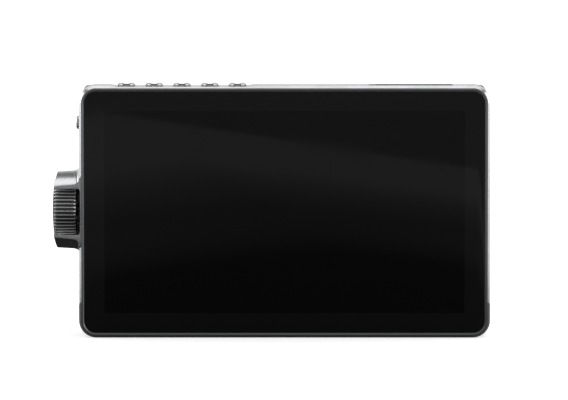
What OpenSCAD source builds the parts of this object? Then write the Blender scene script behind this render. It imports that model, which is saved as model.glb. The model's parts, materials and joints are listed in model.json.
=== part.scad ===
// Field monitor: a touch display in a shallow metal body, with a guarded knurled wheel on the left,
// five scooped keys and a card door on top, sockets on the right and a battery plate on the back.
// Origin: mouth of the tripod thread, on the plane the monitor stands on. The display faces -Y.

/* [Display] */
// Width of the lit picture
active_w = 121.8; // [116:0.1:146]
// Height of the lit picture
active_h = 68.5; // [64:0.1:86]
// Black border of the glass at the picture's sides
side_border = 6.95; // [6.2:0.05:9]
// Black border of the glass above and below the picture
end_border = 6.8; // [6.2:0.05:9]
// Thickness of the cover glass
glass_t = 1.1; // [0.7:0.1:1.5]
// Corner radius of the cover glass
glass_r = 4.1; // [3.6:0.1:6]
// Ground chamfer round the front of the glass
glass_chamfer = 0.35; // [0.2:0.05:0.5]
// Dark border of the liquid crystal cell round the picture
cell_border = 1.8; // [1:0.1:2.2]
// Thickness of the touch sensor
touch_t = 0.3; // [0.2:0.05:0.5]
// Thickness of the liquid crystal cell
cell_t = 1.2; // [0.8:0.1:1.6]
// Thickness of the light guide
guide_t = 0.9; // [0.6:0.1:1.2]
// Sheet thickness of the display tray
tray_t = 0.4; // [0.3:0.05:0.6]

/* [Body] */
// Gap between the glass edge and the front frame
glass_gap = 0.12; // [0.1:0.02:0.2]
// Width of the front frame outside the glass gap
frame_lip = 0.78; // [0.7:0.02:1.4]
// How far the frame face lies behind the glass face
frame_drop = 0.1; // [0:0.05:0.3]
// How far the frame stands ahead of the middle frame
frame_proud = 1.1; // [0.7:0.1:1.6]
// How much wider the body is than the front frame, on each side
body_step = 0.75; // [0.6:0.05:1.2]
// Depth of the slope from the frame out to the body side
step_d = 1.1; // [0.6:0.1:1.6]
// Depth of the middle frame
edge_d = 9; // [8.6:0.1:11]
// Depth of the rear cover
rear_d = 14.9; // [14.4:0.1:20]
// Wall of the middle frame
wall = 1.8; // [1.6:0.1:2.2]
// Wall of the rear cover
cover_wall = 1.6; // [1.4:0.1:2]
// Draft of the rear cover's top and sides, in degrees
draft = 6; // [3:0.5:8]
// Rounding of the rear cover's back edge
back_r = 4; // [3:0.25:5]
// Seam step between the middle frame and the rear cover
seam = 0.15; // [0.05:0.05:0.25]
// Height of the rubber base's side arms
bumper_h = 12; // [10:0.5:18]
// How far the rubber base stands out of the body
bumper_proud = 0.1; // [0.1:0.05:0.5]

/* [Wheel] */
// Diameter of the wheel over its ridges
wheel_d = 20.9; // [19:0.1:21.4]
// Length of the wheel's rim at its edge
wheel_w = 7.45; // [6:0.05:9]
// Depth of the grooves between the ridges
groove = 0.5; // [0.3:0.05:0.6]
// Number of ridges
ridges = 50; // [36:1:60]
// Radius of the slight dome on the wheel's end
dome_r = 76; // [60:2:300]
// Running gap between the wheel and its guard's floor
wheel_gap = 1.35; // [1.1:0.05:1.8]
// Push travel of the wheel
wheel_push = 0.4; // [0.3:0.05:0.4]
// Diameter of the guard where it meets the body
guard_d = 26.8; // [26.4:0.1:28]
// Wall of the guard
guard_wall = 0.9; // [0.7:0.05:1.2]
// Draft of the guard, in degrees
guard_draft = 3.5; // [1:0.5:4]
// Radius of the arc that the guard's end follows, seen from the front
guard_arc = 50; // [40:1:90]
// Radius of the flare at the guard's root
flare_r = 1.6; // [0.8:0.1:2]
// Diameter of the wheel's shaft
shaft_d = 4; // [3:0.1:5]

/* [Keys and door] */
// Length of a top key
key_w = 6; // [5:0.1:7]
// Depth of a top key, front to back
key_d = 5; // [4:0.1:5]
// Distance between top keys
key_pitch = 9.4; // [8.8:0.1:10.2]
// Distance from the body's left side to the first key's centre
key_start = 16; // [14:0.5:18]
// Height of a key over the hollow it stands in
key_rise = 1.15; // [0.9:0.05:1.4]
// Depth of the finger scoop in a key
scoop = 0.35; // [0.25:0.05:0.6]
// Travel of a top key
key_travel = 0.35; // [0.2:0.05:0.4]
// Depth of the hollow round the keys
hollow = 0.36; // [0.2:0.02:0.5]
// Fall of the hollow's floor towards the back, in degrees
hollow_fall = 4.5; // [3:0.25:5.5]
// Diameter of the power key
power_d = 4.6; // [4:0.1:5.4]
// How far the power key stands out
power_rise = 1; // [0.8:0.1:1.3]
// Height of the power key above the body's middle
power_up = 29.9; // [24:0.5:31]
// Length of the card door
door_w = 25.7; // [25.5:0.1:28]
// Depth of the card door, front to back
door_d = 5.2; // [4.8:0.1:5.4]
// Distance from the body's right side to the door's end
door_start = 12.8; // [12.4:0.1:18]
// Thickness of the card door
door_t = 1; // [0.9:0.05:1.2]
// How far the card door lies below the top
door_sink = 0.28; // [0.1:0.02:0.4]

/* [Back and sockets] */
// Width of the battery plate
plate_w = 42; // [40:0.5:46]
// Height of the battery plate
plate_h = 58; // [54:0.5:60]
// Height of the battery hooks over the back
hook_h = 2.2; // [1.8:0.1:3]
// Side of the cooling fan
fan_s = 30; // [26:0.5:32]
// Depth of the cooling fan
fan_d = 6; // [5:0.1:6.4]
// Radius of the tripod thread, at its minor diameter
thread_r = 2.6; // [2.5:0.05:2.65]
// Depth of the tripod thread
thread_l = 6.5; // [5:0.5:7.5]

/* [Hidden] */
$fn = 64;

eps = 0.01;              // overlap that keeps cuts clean
fit = 0.05;              // gap of a located piece
slide_gap = 0.12;        // gap round a piece that moves
shaft_gap = 0.03;        // radial running clearance of a shaft

// Cover glass
glass_w = active_w + 2 * side_border;
glass_h = active_h + 2 * end_border;

// Offsets outward from the glass edge
frame_o = glass_gap + frame_lip;
body_o = frame_o + body_step;
in_o = body_o - wall;
tongue_t = 0.45;
tongue_o = glass_gap + tongue_t;
ledge_o = -2.2;

// Body
body_w = glass_w + 2 * body_o;
body_h = glass_h + 2 * body_o;
body_r = glass_r + body_o;
body_d = frame_proud + edge_d + rear_d;
side_x = body_w / 2;
base_z = bumper_proud;
mid_z = base_z + body_h / 2;
top_z = base_z + body_h;
in_x = side_x - wall;
in_top = top_z - wall;
in_base = base_z + wall;

// Planes from front to back
front_y = -body_d / 2;
mid_y = front_y + frame_proud;
part_y = mid_y + edge_d;
back_y = front_y + body_d;
inner_back_y = back_y - cover_wall;
glass_y = front_y + glass_t;
gasket_t = 0.2;
ledge_y = glass_y + gasket_t;
seat_y = ledge_y + 1.4;
cell_y = glass_y + touch_t;
guide_y = cell_y + cell_t;
tray_y = guide_y + guide_t + tray_t;
chassis_y = tray_y + 1;
board_t = 1.2;
board_y = part_y - board_t;
key_y = (chassis_y + board_y) / 2 - 0.2;

// Display module
cell_w = active_w + 2 * cell_border;
cell_h = active_h + 2 * cell_border;
touch_w = cell_w + 2;
touch_h = cell_h + 2;
tray_w = cell_w + 2 * (tray_t + 0.1);
tray_h = cell_h + 2 * (tray_t + 0.1);
ribbon_w = 22;
ribbon_t = 0.3;
ribbon_gap = 0.9;
ribbon_slot = 2;
ribbon_rise = 20;

// Chassis
plate_o = in_o - 0.4;
lug = 5.5;
lug_x = in_x - lug / 2;
lug_z = mid_z - in_base - lug / 2;
screw_r = 0.8;
stud_r = 2.2;
board_screw_l = 4.2;
stud_top_x = 24;
stud_low_x = 46;
stud_z = 27;
shelf_t = 0.8;

// Wheel and guard
wheel_r = wheel_d / 2;
wheel_y = front_y + wheel_r;
floor_x = -side_x + 0.35;
rim_x = floor_x - wheel_gap;
rim_end_x = rim_x - wheel_w;
rim_chamfer = 0.6;
end_chamfer = 0.4;
ridge_turn = 4.2;        // where the first ridge stands, in degrees
function dome_rise(r) = dome_r - sqrt(pow(dome_r, 2) - pow(r, 2));
dome_x = rim_end_x - dome_rise(wheel_r);
function dome_at(r) = dome_x + dome_rise(r);
guard_r = guard_d / 2;
guard_y = wheel_y - 9.55;
pocket_r = guard_r - guard_wall - 0.2;
pocket_corner = 0.7;
plug_r = guard_r - 0.3;
plug_x = -side_x + 4.5;
root_r = guard_r + flare_r;
tab_z = root_r + 3;
tab_t = 1.2;
cap_r = 7.5;
fade_r = cap_r + 0.2;    // where the grooves run out on the domed end
cap_t = 1.2;
hub_r = 4.2;
shaft_r = shaft_d / 2;
bush_r = shaft_r + 1;
flange_r = 3.9;
flange_t = 0.45;
encoder_s = 9;
encoder_x = plug_x + 7;
disc_r = 2.4;
dome_t = 1;
plunger_t = 0.9;

// Keys
hollow_z = top_z - hollow;
key_x = -side_x + key_start;
key_n = 5;
key_last_x = key_x + (key_n - 1) * key_pitch;
hollow_x0 = key_x - key_w / 2 - 0.3;
hollow_x1 = key_last_x + key_w / 2 + 0.3;
hollow_slope = 2.2;
strip_x0 = key_x - 3.8;
strip_x1 = key_last_x + 3.8;
flange_k = 0.7;
key_foot_z = in_top - fit - flange_k;
switch_w = 3.2;
switch_d = 2.8;
switch_h = 0.9;
switch_z = key_foot_z - key_travel - fit;
strip_t = 0.8;
strip_z = switch_z - switch_h - strip_t;
power_z = mid_z + power_up;
power_y = key_y;

// Card door, hinged along its rear edge, and the socket under it
hinge_r = door_t / 2 + 0.1;
door_x1 = side_x - door_start;
door_x0 = door_x1 - door_w;
door_y0 = key_y - 0.1 - door_d / 2;
door_y1 = door_y0 + door_d;
hinge_y = door_y1 - hinge_r;
door_top_z = top_z - door_sink;
hinge_z = door_top_z - hinge_r;
door_lean = 0.22;        // room behind the door for its swing past upright
pin_r = 0.3;
pin_end = 1.4;
seal_t = 0.3;
card_x = (door_x0 + door_x1) / 2;
card_w = 24.4;
card_t = 2.2;
card_y1 = hinge_y - hinge_r - 0.2;
card_y0 = card_y1 - card_t;
socket_w = card_w + 1.4;
socket_h = 29;
socket_y0 = card_y0 - 0.25;
socket_z = in_top - 0.6;
nail_w = 2.7;
nail_t = 0.6;
nail_r = (pow(nail_w / 2, 2) + pow(nail_t, 2)) / (2 * nail_t);

// Sockets on the right side
port_x = side_x - 0.6;
port_y = part_y;
video_w = 15;
video_t = 5.6;
video_l = 11;
usb_w = 9;
usb_t = 3.3;
usb_l = 8;
jack_r = 1.8;
jack_s = 5.6;
jack_l = 12;
jack_depth = 10.5;
inlet_r = 2.8;
inlet_s = 8.4;
inlet_l = 11;
inlet_depth = 9;
inlet_pin_r = 1;

// Back
cover_screw_x = side_x - 8.7;
cover_screw_z = body_h / 2 - 8.5;
cover_screw_r = 1;
cover_screw_gap = 2;
cover_boss_r = 2.9;

// The sockets stand one above another, evenly spaced between the two right-hand screw bosses
port_size = [video_w, video_w, usb_w, jack_s, inlet_s];
port_n = len(port_size);
port_top = cover_screw_z - cover_boss_r;
port_gap = (2 * port_top - stack(port_n)) / (port_n + 1);
function stack(n) = n == 0 ? 0 : stack(n - 1) + port_size[n - 1];
function port_z(i) = mid_z + port_top - stack(i) - (i + 1) * port_gap - port_size[i] / 2;
video_z = [port_z(0), port_z(1)];
usb_z = port_z(2);
jack_z = port_z(3);
inlet_z = port_z(4);

// Covers and fan
cover_head_r = 2.1;
head_seat_y = back_y - 7;
fan_x = side_x - 9 - fan_s / 2 - 2;
fan_z = mid_z - 4;
fan_y = inner_back_y - fan_d;
plate_face_y = back_y - 0.6;
plate_z = mid_z;
flange_w = 2.5;
latch_z = plate_z + plate_h / 2 - 9;
latch_rise = 1.5;
release_x = plate_w / 2 + 6;
release_r = 3.2;
release_rise = 1.2;
bar_y = inner_back_y - 4.4;
bar_t = 1.2;
hook_w = 1.3;
hook_l = 9;
latch_w = 8;
latch_h = 5;
contact_z = plate_z - plate_h / 2 + 5;
contact_pitch = 5;
contact_xs = [-contact_pitch, 0, contact_pitch];

// Tripod boss
boss_x = 12;
boss_y = 7;
boss_top = base_z + thread_l + 1.5;
insert_r = 4.4;
rim_r = 5.6;

// ---------------------------------------------------------------- shapes

module rounded(w, h, r) {
    square([w - 2 * r, h], center = true);
    square([w, h - 2 * r], center = true);
    for (sx = [-1, 1], sy = [-1, 1])
        translate([sx * (w / 2 - r), sy * (h / 2 - r)]) circle(r);
}

// A flat piece parallel to the display, drawn in X and Z
module slab(y0, y1) {
    translate([0, y1, 0]) rotate([90, 0, 0]) linear_extrude(y1 - y0) children();
}

// A piece extruded along X, drawn in Y and Z
module along_x(x0, x1) {
    translate([x0, 0, 0]) rotate([90, 0, 90]) linear_extrude(x1 - x0) children();
}

module block(x0, x1, y0, y1, z0, z1) {
    translate([x0, y0, z0]) cube([x1 - x0, y1 - y0, z1 - z0]);
}

module rod_x(r, x0, x1) {
    translate([x0, 0, 0]) rotate([0, 90, 0]) cylinder(r = r, h = x1 - x0);
}

module rod_y(r, y0, y1) {
    translate([0, y1, 0]) rotate([90, 0, 0]) cylinder(r = r, h = y1 - y0);
}

module rod_z(r, z0, z1) {
    translate([0, 0, z0]) cylinder(r = r, h = z1 - z0);
}

// Carries a section round the display. The section is drawn as distance outward from the
// glass edge, and Y.
module ring() {
    translate([0, 0, mid_z]) rotate([-90, 0, 0]) {
        for (q = [[1, 1, 0], [-1, 1, 90], [-1, -1, 180], [1, -1, 270]])
            translate([q[0] * (glass_w / 2 - glass_r), q[1] * (glass_h / 2 - glass_r), 0])
                rotate([0, 0, q[2]]) rotate_extrude(angle = 90) translate([glass_r, 0]) children();
        for (a = [0, 180])
            rotate([0, 0, a]) translate([glass_w / 2 - glass_r, 0, 0]) rotate([90, 0, 0])
                linear_extrude(glass_h - 2 * glass_r, center = true) translate([glass_r, 0]) children();
        for (a = [90, 270])
            rotate([0, 0, a]) translate([glass_h / 2 - glass_r, 0, 0]) rotate([90, 0, 0])
                linear_extrude(glass_w - 2 * glass_r, center = true) translate([glass_r, 0]) children();
    }
}

// Turned about the wheel's axis. The section is drawn as radius and X.
module turned() {
    translate([0, wheel_y, mid_z]) rotate([0, 90, 0]) rotate_extrude() children();
}

module at_wheel() {
    translate([0, wheel_y, mid_z]) children();
}

// ---------------------------------------------------------------- display

module front_frame() {
    face_y = front_y + frame_drop;
    bevel = 0.2;
    color("#33363a") ring() polygon([
        [glass_gap + bevel / 2, face_y], [frame_o - bevel, face_y], [frame_o, face_y + bevel],
        [frame_o, mid_y], [tongue_o, mid_y], [tongue_o, seat_y], [ledge_o, seat_y],
        [ledge_o, ledge_y], [glass_gap, ledge_y], [glass_gap, face_y + bevel / 2]
    ]);
}

module cover_glass() {
    c = glass_chamfer;
    color("#0c0d0f") difference() {
        translate([0, 0, mid_z]) slab(front_y, glass_y) rounded(glass_w, glass_h, glass_r);
        ring() polygon([[-c - 0.5, front_y - 0.5], [0.5, front_y - 0.5], [0.5, front_y + c + 0.5]]);
    }
}

module glass_gasket() {
    color("#151515") ring() translate([ledge_o + 0.2, glass_y]) square([-ledge_o - 0.3, gasket_t]);
}

module touch_sensor() {
    color("#1d2226") translate([0, 0, mid_z]) slab(glass_y, cell_y)
        square([touch_w, touch_h], center = true);
}

module lcd_cell() {
    color("#101418") translate([0, 0, mid_z]) slab(cell_y, guide_y) square([cell_w, cell_h], center = true);
}

module light_guide() {
    color("#e8ecef") translate([0, 0, mid_z])
        slab(guide_y, guide_y + guide_t) square([cell_w, cell_h], center = true);
}

module lcd_tray() {
    color("#b9bcc0") translate([0, 0, mid_z]) difference() {
        slab(cell_y + 0.1, tray_y) square([tray_w, tray_h], center = true);
        slab(cell_y, tray_y - tray_t) square([cell_w + 0.2, cell_h + 0.2], center = true);
        translate([0, 0, -tray_h / 2]) slab(cell_y, guide_y)
            square([ribbon_w + 1, ribbon_slot], center = true);
    }
}

// The display's flat ribbon: out of the cell's lower edge, through the chassis, up to the board
module display_ribbon() {
    z_cell = mid_z - cell_h / 2;
    z_low = mid_z - tray_h / 2 - ribbon_gap;
    y_in = cell_y + 0.5;
    y_up = chassis_y + 1;
    z_end = in_base + ribbon_rise;
    color("#c98a3a") along_x(-ribbon_w / 2, ribbon_w / 2) polygon([
        [y_in, z_cell], [y_in, z_low], [y_up + ribbon_t, z_low], [y_up + ribbon_t, z_end - ribbon_t],
        [board_y, z_end - ribbon_t], [board_y, z_end], [y_up, z_end], [y_up, z_low + ribbon_t],
        [y_in + ribbon_t, z_low + ribbon_t], [y_in + ribbon_t, z_cell]
    ]);
}

// ---------------------------------------------------------------- chassis and shells

module stud_places() {
    for (sx = [-1, 1]) {
        translate([sx * stud_top_x, 0, mid_z + stud_z]) children();
        translate([sx * stud_low_x, 0, mid_z - stud_z]) children();
    }
}

module lug_places() {
    for (sx = [-1, 1], sz = [-1, 1]) translate([sx * lug_x, 0, mid_z + sz * lug_z]) children();
}

module chassis_plate() {
    z_slot = mid_z - tray_h / 2 - ribbon_gap;
    color("#8d9196") difference() {
        union() {
            translate([0, 0, mid_z]) slab(tray_y, chassis_y)
                rounded(glass_w + 2 * plate_o, glass_h + 2 * plate_o, glass_r + plate_o);
            stud_places() rod_y(stud_r, chassis_y - eps, board_y);
            block(strip_x0 - 0.4, strip_x1 + 0.4, tray_y, board_y - 0.3, strip_z - shelf_t, strip_z);
        }
        stud_places() rod_y(screw_r, tray_y - 1, board_y + 1);
        lug_places() rod_y(screw_r, tray_y - 1, chassis_y + 1);
        block(-ribbon_w / 2 - 1, ribbon_w / 2 + 1, tray_y - 1, chassis_y + 1,
              z_slot - 0.4, z_slot + ribbon_t + 0.4);
        block(strip_x0 - 1, strip_x1 + 1, tray_y - 1, chassis_y + 1, strip_z, top_z);
        block(door_x0 - 2, door_x1 + 2, tray_y - 1, chassis_y + 1, socket_z - 0.5, top_z);
        at_wheel() rod_x(plug_r + 0.3, -side_x - 1, plug_x + 0.3);
        block(-side_x, -in_x + 2.7, tray_y - 1, chassis_y + 1, power_z - 3.4, power_z + 3.4);
        block(-boss_x - 0.5, boss_x + 0.5, tray_y - 1, chassis_y + 1, 0, in_base + 0.5);
    }
}

module key_places() {
    for (i = [0:key_n - 1]) translate([key_x + i * key_pitch, key_y, 0]) children();
}

// The shallow hollow that the keys stand in, with sloped ends. Its floor can fall towards the back.
module key_hollow(y0, fall) {
    translate([0, part_y, hollow_z]) rotate([-fall, 0, 0]) translate([0, -part_y, -hollow_z])
        slab(y0, back_y) polygon([
            [hollow_x0, hollow_z], [hollow_x1, hollow_z],
            [hollow_x1 + hollow_slope * 3, hollow_z + hollow * 3],
            [hollow_x0 - hollow_slope * 3, hollow_z + hollow * 3]
        ]);
}

// Round notch in the side walls that the guard's plug fills. Its seam is turned to the open front.
module wheel_notch() {
    at_wheel() rotate([-90, 0, 0]) rod_x(plug_r + fit, -side_x - 1, -side_x + 6);
}

// Shallow seat in the side wall for the flared root of the guard
module root_seat(gap) {
    intersection() {
        at_wheel() rod_x(root_r + gap, -side_x - gap * 20, -side_x + body_step - fit + gap);
        block(-side_x - 2, -in_x, guard_y - gap * 20, part_y, mid_z - root_r - 1, mid_z + root_r + 1);
    }
}

module bumper_section(extra) {
    y_end = part_y - 0.8;
    polygon([
        [frame_o, mid_y + 0.15 - extra], [frame_o + 0.25, mid_y + 0.15 - extra],
        [body_o + bumper_proud, mid_y + 0.9 - extra * 3], [body_o + bumper_proud, y_end],
        [frame_o, y_end]
    ]);
}

module bumper_foot_plate() {
    w = body_w - 2 * body_r - 2;
    block(-w / 2, w / 2, part_y - 0.9, back_y - back_r, 0, base_z + body_step);
}

// Upright limit of the base's side arms, with sloped ends
module bumper_limit() {
    z1 = base_z + bumper_h;
    slab(mid_y - 2, back_y) polygon([
        [-side_x - 1, -1], [side_x + 1, -1], [side_x + 1, z1 - 1.6], [side_x - body_step, z1],
        [-side_x + body_step, z1], [-side_x - 1, z1 - 1.6]
    ]);
}

module base_bumper() {
    color("#26282a") difference() {
        union() {
            intersection() {
                ring() bumper_section(0);
                bumper_limit();
            }
            bumper_foot_plate();
        }
        block(-boss_x - 0.2, boss_x + 0.2, -rim_r - 2, boss_y + 0.2, -1, base_z + body_step + 1);
    }
}

module tripod_insert() {
    color("#a9adb2") difference() {
        union() {
            rod_z(rim_r, 0, base_z + 1);
            rod_z(insert_r, 0, boss_top - 0.8);
        }
        rod_z(thread_r, -1, thread_l);
    }
}

module port_cut(z, w, t) {
    block(port_x - 3, side_x + 1, port_y - eps, port_y + t + fit, z - w / 2 - fit, z + w / 2 + fit);
}

module port_cuts() {
    for (z = video_z)
        port_cut(z, video_w, video_t);
    port_cut(usb_z, usb_w, usb_t);
    port_cut(jack_z, jack_s, jack_s);
    port_cut(inlet_z, inlet_s, inlet_s);
}

// The door's seat, the room for its hinge, the way down to the socket and the fingernail notch
module door_opening() {
    g = slide_gap;
    block(door_x0 - g, door_x1 + g, door_y0 - g, hinge_y, door_top_z - door_t - fit, top_z + 1);
    translate([0, hinge_y, hinge_z]) rod_x(hinge_r + g, door_x0 - g, door_x1 + g);
    block(door_x0 - g, door_x1 + g, hinge_y, door_y1 + door_lean, hinge_z, top_z + 1);
    block(door_x0 + 0.5, door_x1 - 0.5, door_y0 + 0.4, hinge_y - hinge_r - g, in_top - 1, top_z);
    translate([door_x0 - g - nail_w / 2 + 0.2, 0, top_z + nail_r - nail_t])
        rod_y(nail_r, (door_y0 + door_y1) / 2 - 1.7, (door_y0 + door_y1) / 2 + 1.7);
}

module mid_frame() {
    color("#6d7176") difference() {
        union() {
            ring() polygon([
                [frame_o, mid_y], [body_o, mid_y + step_d], [body_o, part_y], [in_o, part_y],
                [in_o, seat_y], [tongue_o + fit, seat_y], [tongue_o + fit, mid_y]
            ]);
            lug_places() translate([-lug / 2, chassis_y, -lug / 2]) cube([lug, part_y - chassis_y, lug]);
            for (sx = [-1, 1], sz = [-1, 1])
                block(sx * cover_screw_x - cover_boss_r, sx * cover_screw_x + cover_boss_r,
                      chassis_y, part_y,
                      mid_z + (sz > 0 ? cover_screw_z - cover_boss_r : -body_h / 2 + wall - eps),
                      mid_z + (sz > 0 ? body_h / 2 - wall + eps : -cover_screw_z + cover_boss_r));
            block(-boss_x, boss_x, chassis_y + 2.4, boss_y, base_z, boss_top);
        }
        lug_places() rod_y(screw_r, chassis_y - 1, part_y - 1);
        cover_screw_places() rod_y(cover_screw_r, chassis_y + 1, part_y + 1);
        rod_z(insert_r, -1, boss_top - 0.8);
        rod_z(rim_r, -1, base_z + 1);
        key_hollow(mid_y - 1, 0);
        key_places() linear_extrude(top_z + 1) rounded(key_w + 2 * slide_gap, key_d + 2 * slide_gap, 1.2);
        wheel_notch();
        root_seat(fit);
        guard_screw_places() rod_x(screw_r, -in_x - 1.2, -in_x + 1);
        translate([0, power_y, power_z]) rod_x(power_d / 2 + slide_gap, -side_x - 1, -in_x + 1);
        intersection() {
            ring() bumper_section(0.3);
            bumper_limit();
        }
        bumper_foot_plate();
        door_opening();
        translate([0, hinge_y, hinge_z]) rod_x(pin_r, door_x0 - pin_end, door_x1 + pin_end);
    }
}

// Rear cover section: straight or drafted sides, then a round into the back. Drawn in A and Y.
module cover_section(a0, a1, d0, d1, y1, r) {
    yc = y1 - r;
    c0 = a0 + (yc - part_y) * tan(d0) + r / cos(d0);
    c1 = a1 - (yc - part_y) * tan(d1) - r / cos(d1);
    polygon([
        [a0, part_y - 1], [a1, part_y - 1], [a1, part_y], [c1 + r * cos(d1), yc + r * sin(d1)],
        [c1, y1], [c0, y1], [c0 - r * cos(d0), yc + r * sin(d0)], [a0, part_y]
    ]);
    translate([c0, yc]) circle(r);
    translate([c1, yc]) circle(r);
}

module cover_form(t, y0) {
    intersection() {
        translate([0, 0, mid_z]) slab(y0, back_y - t)
            rounded(body_w - 2 * t, body_h - 2 * t, body_r - t);
        linear_extrude(top_z + 5) cover_section(-side_x + t, side_x - t, draft, draft, back_y - t, back_r);
        along_x(-side_x - 1, side_x + 1) mirror([1, -1, 0])
            cover_section(base_z + t, top_z - t, 0, draft, back_y - t, back_r);
    }
}

module cover_screw_places() {
    for (sx = [-1, 1], sz = [-1, 1])
        translate([sx * cover_screw_x, 0, mid_z + sz * cover_screw_z]) children();
}

module vent_slots(x, z, w, h, n) {
    pitch = w / n;
    for (i = [0:n - 1])
        translate([x - w / 2 + (i + 0.5) * pitch, 0, z]) slab(inner_back_y - 1, back_y + 1)
            rounded(pitch * 0.48, h, pitch * 0.24 - eps);
}

module rear_cover() {
    color("#3b3e42") difference() {
        union() {
            difference() {
                cover_form(seam, part_y);
                cover_form(cover_wall, part_y - 1);
            }
            cover_screw_places() rod_y(cover_boss_r, part_y, inner_back_y + eps);
        }
        cover_screw_places() {
            rod_y(cover_screw_r + 0.15, part_y - 1, back_y + 1);
            rod_y(cover_head_r + 0.2, head_seat_y, back_y + 1);
        }
        vent_slots(fan_x, fan_z, fan_s - 6, fan_s - 6, 9);
        vent_slots(-fan_x, fan_z, fan_s - 6, fan_s - 6, 9);
        translate([0, 0, plate_z]) slab(inner_back_y - 1, back_y + 1)
            rounded(plate_w + 2 * fit, plate_h + 2 * fit, 2);
        translate([release_x, 0, latch_z]) rod_y(release_r + slide_gap, inner_back_y - 1, back_y + 1);
        plate_screw_places() rod_y(screw_r, inner_back_y - 1, inner_back_y + 1);
        fan_screw_places() rod_y(screw_r, inner_back_y - 1, inner_back_y + 1);
        wheel_notch();
        key_hollow(part_y - 1, hollow_fall);
        port_cuts();
        bumper_foot_plate();
        block(-boss_x - fit, boss_x + fit, part_y - 1, boss_y + fit, -1, boss_top + 1);
    }
}

// ---------------------------------------------------------------- screws

// Pan head screw pointing along +Y, with the underside of its head at Y = 0
module screw(r, l, head_r, head_t) {
    rod_y(r, 0, l);
    difference() {
        rod_y(head_r, -head_t, 0);
        rod_y(head_r * 0.45, -head_t - 1, -head_t * 0.5, $fn = 6);
    }
}

module chassis_screws() {
    color("#c4c7ca") lug_places() translate([0, tray_y, 0]) screw(screw_r, 4, 1.5, 0.7);
}

module board_screws() {
    color("#c4c7ca") stud_places() translate([0, board_y + board_t, 0]) mirror([0, 1, 0])
        screw(screw_r, board_screw_l, 1.5, 0.8);
}

module rear_screws() {
    color("#2a2c2e") cover_screw_places() translate([0, head_seat_y, 0]) mirror([0, 1, 0])
        screw(cover_screw_r, head_seat_y - chassis_y - cover_screw_gap, cover_head_r, 1.6);
}

module guard_screw_places() {
    for (sz = [-1, 1]) translate([0, (chassis_y + part_y) / 2, mid_z + sz * (tab_z - 1.9)]) children();
}

module guard_screws() {
    color("#c4c7ca") guard_screw_places() translate([-in_x + fit + tab_t, 0, 0]) rotate([0, 0, 90])
        screw(screw_r, 2.4, 1.4, 0.7);
}

module plate_screw_places() {
    for (sx = [-1, 1], sz = [-1, 1])
        translate([sx * (plate_w / 2 + flange_w - 1.1), 0, plate_z + sz * (plate_h / 2 - 16)]) children();
}

module plate_screws() {
    color("#c4c7ca") plate_screw_places() translate([0, inner_back_y - 1.2, 0]) screw(screw_r, 2, 1.1, 0.7);
}

// ---------------------------------------------------------------- boards and cooling

board_x0 = -side_x + 15.5;
board_x1 = side_x - 5;
board_z0 = in_base + 8.5;
board_z1 = in_top - 6;

module main_board() {
    color("#1f5a3a") difference() {
        block(board_x0, board_x1, board_y, board_y + board_t, board_z0, board_z1);
        stud_places() rod_y(screw_r, board_y - 1, board_y + board_t + 1);
        // notches round the two right-hand screw bosses
        for (sz = [-1, 1]) {
            z = mid_z + sz * (cover_screw_z - cover_boss_r - 0.4);
            block(cover_screw_x - cover_boss_r - 0.4, side_x, board_y - 1, board_y + board_t + 1,
                  min(z, z + sz * body_h), max(z, z + sz * body_h));
        }
    }
}

chip_s = 16;             // main processor, square
chip_t = 1.5;
memory_w = 11;
memory_h = 9;
memory_t = 1;
coil_s = 4;
coil_t = 1.4;
can_t = 1.8;

// A part on the board's back face, given by its centre and size
module chip(x, z, w, h, t) {
    y = board_y + board_t;
    block(x - w / 2, x + w / 2, y, y + t, mid_z + z - h / 2, mid_z + z + h / 2);
}

module board_chips() {
    color("#202224") {
        chip(0, 0, chip_s, chip_s, chip_t);
        for (s = [-1, 1]) chip(-chip_s - 0.5, s * 1.5 * memory_h, memory_w, memory_h, memory_t);
        for (i = [0:3]) chip(chip_s + i * 1.5 * coil_s, -chip_s - 1, coil_s, coil_s, coil_t);
        for (i = [-2:2]) chip(-chip_s - 22, i * 1.75 * coil_s, coil_s, coil_s, can_t);
    }
}

sink_w = 44;
sink_h = 34;
sink_base = 1;
fin_h = 3;
fin_t = 1;
fins = 11;

module heat_sink() {
    y = board_y + board_t + chip_t;
    x0 = 4 - sink_w / 2;
    z0 = mid_z - sink_h / 2;
    color("#9da1a6") {
        block(x0, x0 + sink_w, y, y + sink_base, z0, z0 + sink_h);
        for (i = [0:fins - 1]) {
            z = z0 + i * (sink_h - fin_t) / (fins - 1);
            block(x0, x0 + sink_w, y + sink_base - eps, y + sink_base + fin_h, z, z + fin_t);
        }
    }
}

module at_fan() {
    translate([fan_x, 0, fan_z]) children();
}

fan_bore = fan_s / 2 - 1.2;
fan_hole = fan_s / 2 - 2.1;
axle_r = 1;

module fan_frame() {
    color("#1c1d1f") at_fan() {
        difference() {
            slab(fan_y, fan_y + fan_d) rounded(fan_s, fan_s, 2);
            rod_y(fan_bore, fan_y - 1, fan_y + fan_d + 1);
            for (sx = [-1, 1], sz = [-1, 1])
                translate([sx * fan_hole, 0, sz * fan_hole]) rod_y(screw_r, fan_y - 1, fan_y + fan_d + 1);
        }
        // spider and axle on the board side
        difference() {
            slab(fan_y, fan_y + 0.9) {
                circle(4.5);
                for (a = [0:120:240]) rotate(a + 15) translate([0, -0.8]) square([fan_bore + 0.5, 1.6]);
            }
            rod_y(axle_r, fan_y - 1, fan_y + 2);
        }
        rod_y(axle_r, fan_y, fan_y + fan_d - 1.4);
    }
}

module fan_screw_places() {
    for (sx = [-1, 1], sz = [-1, 1])
        translate([fan_x + sx * fan_hole, 0, fan_z + sz * fan_hole]) children();
}

module fan_screws() {
    color("#c4c7ca") fan_screw_places() translate([0, fan_y, 0]) screw(screw_r, fan_d + 1, 1.4, 0.8);
}

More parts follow.
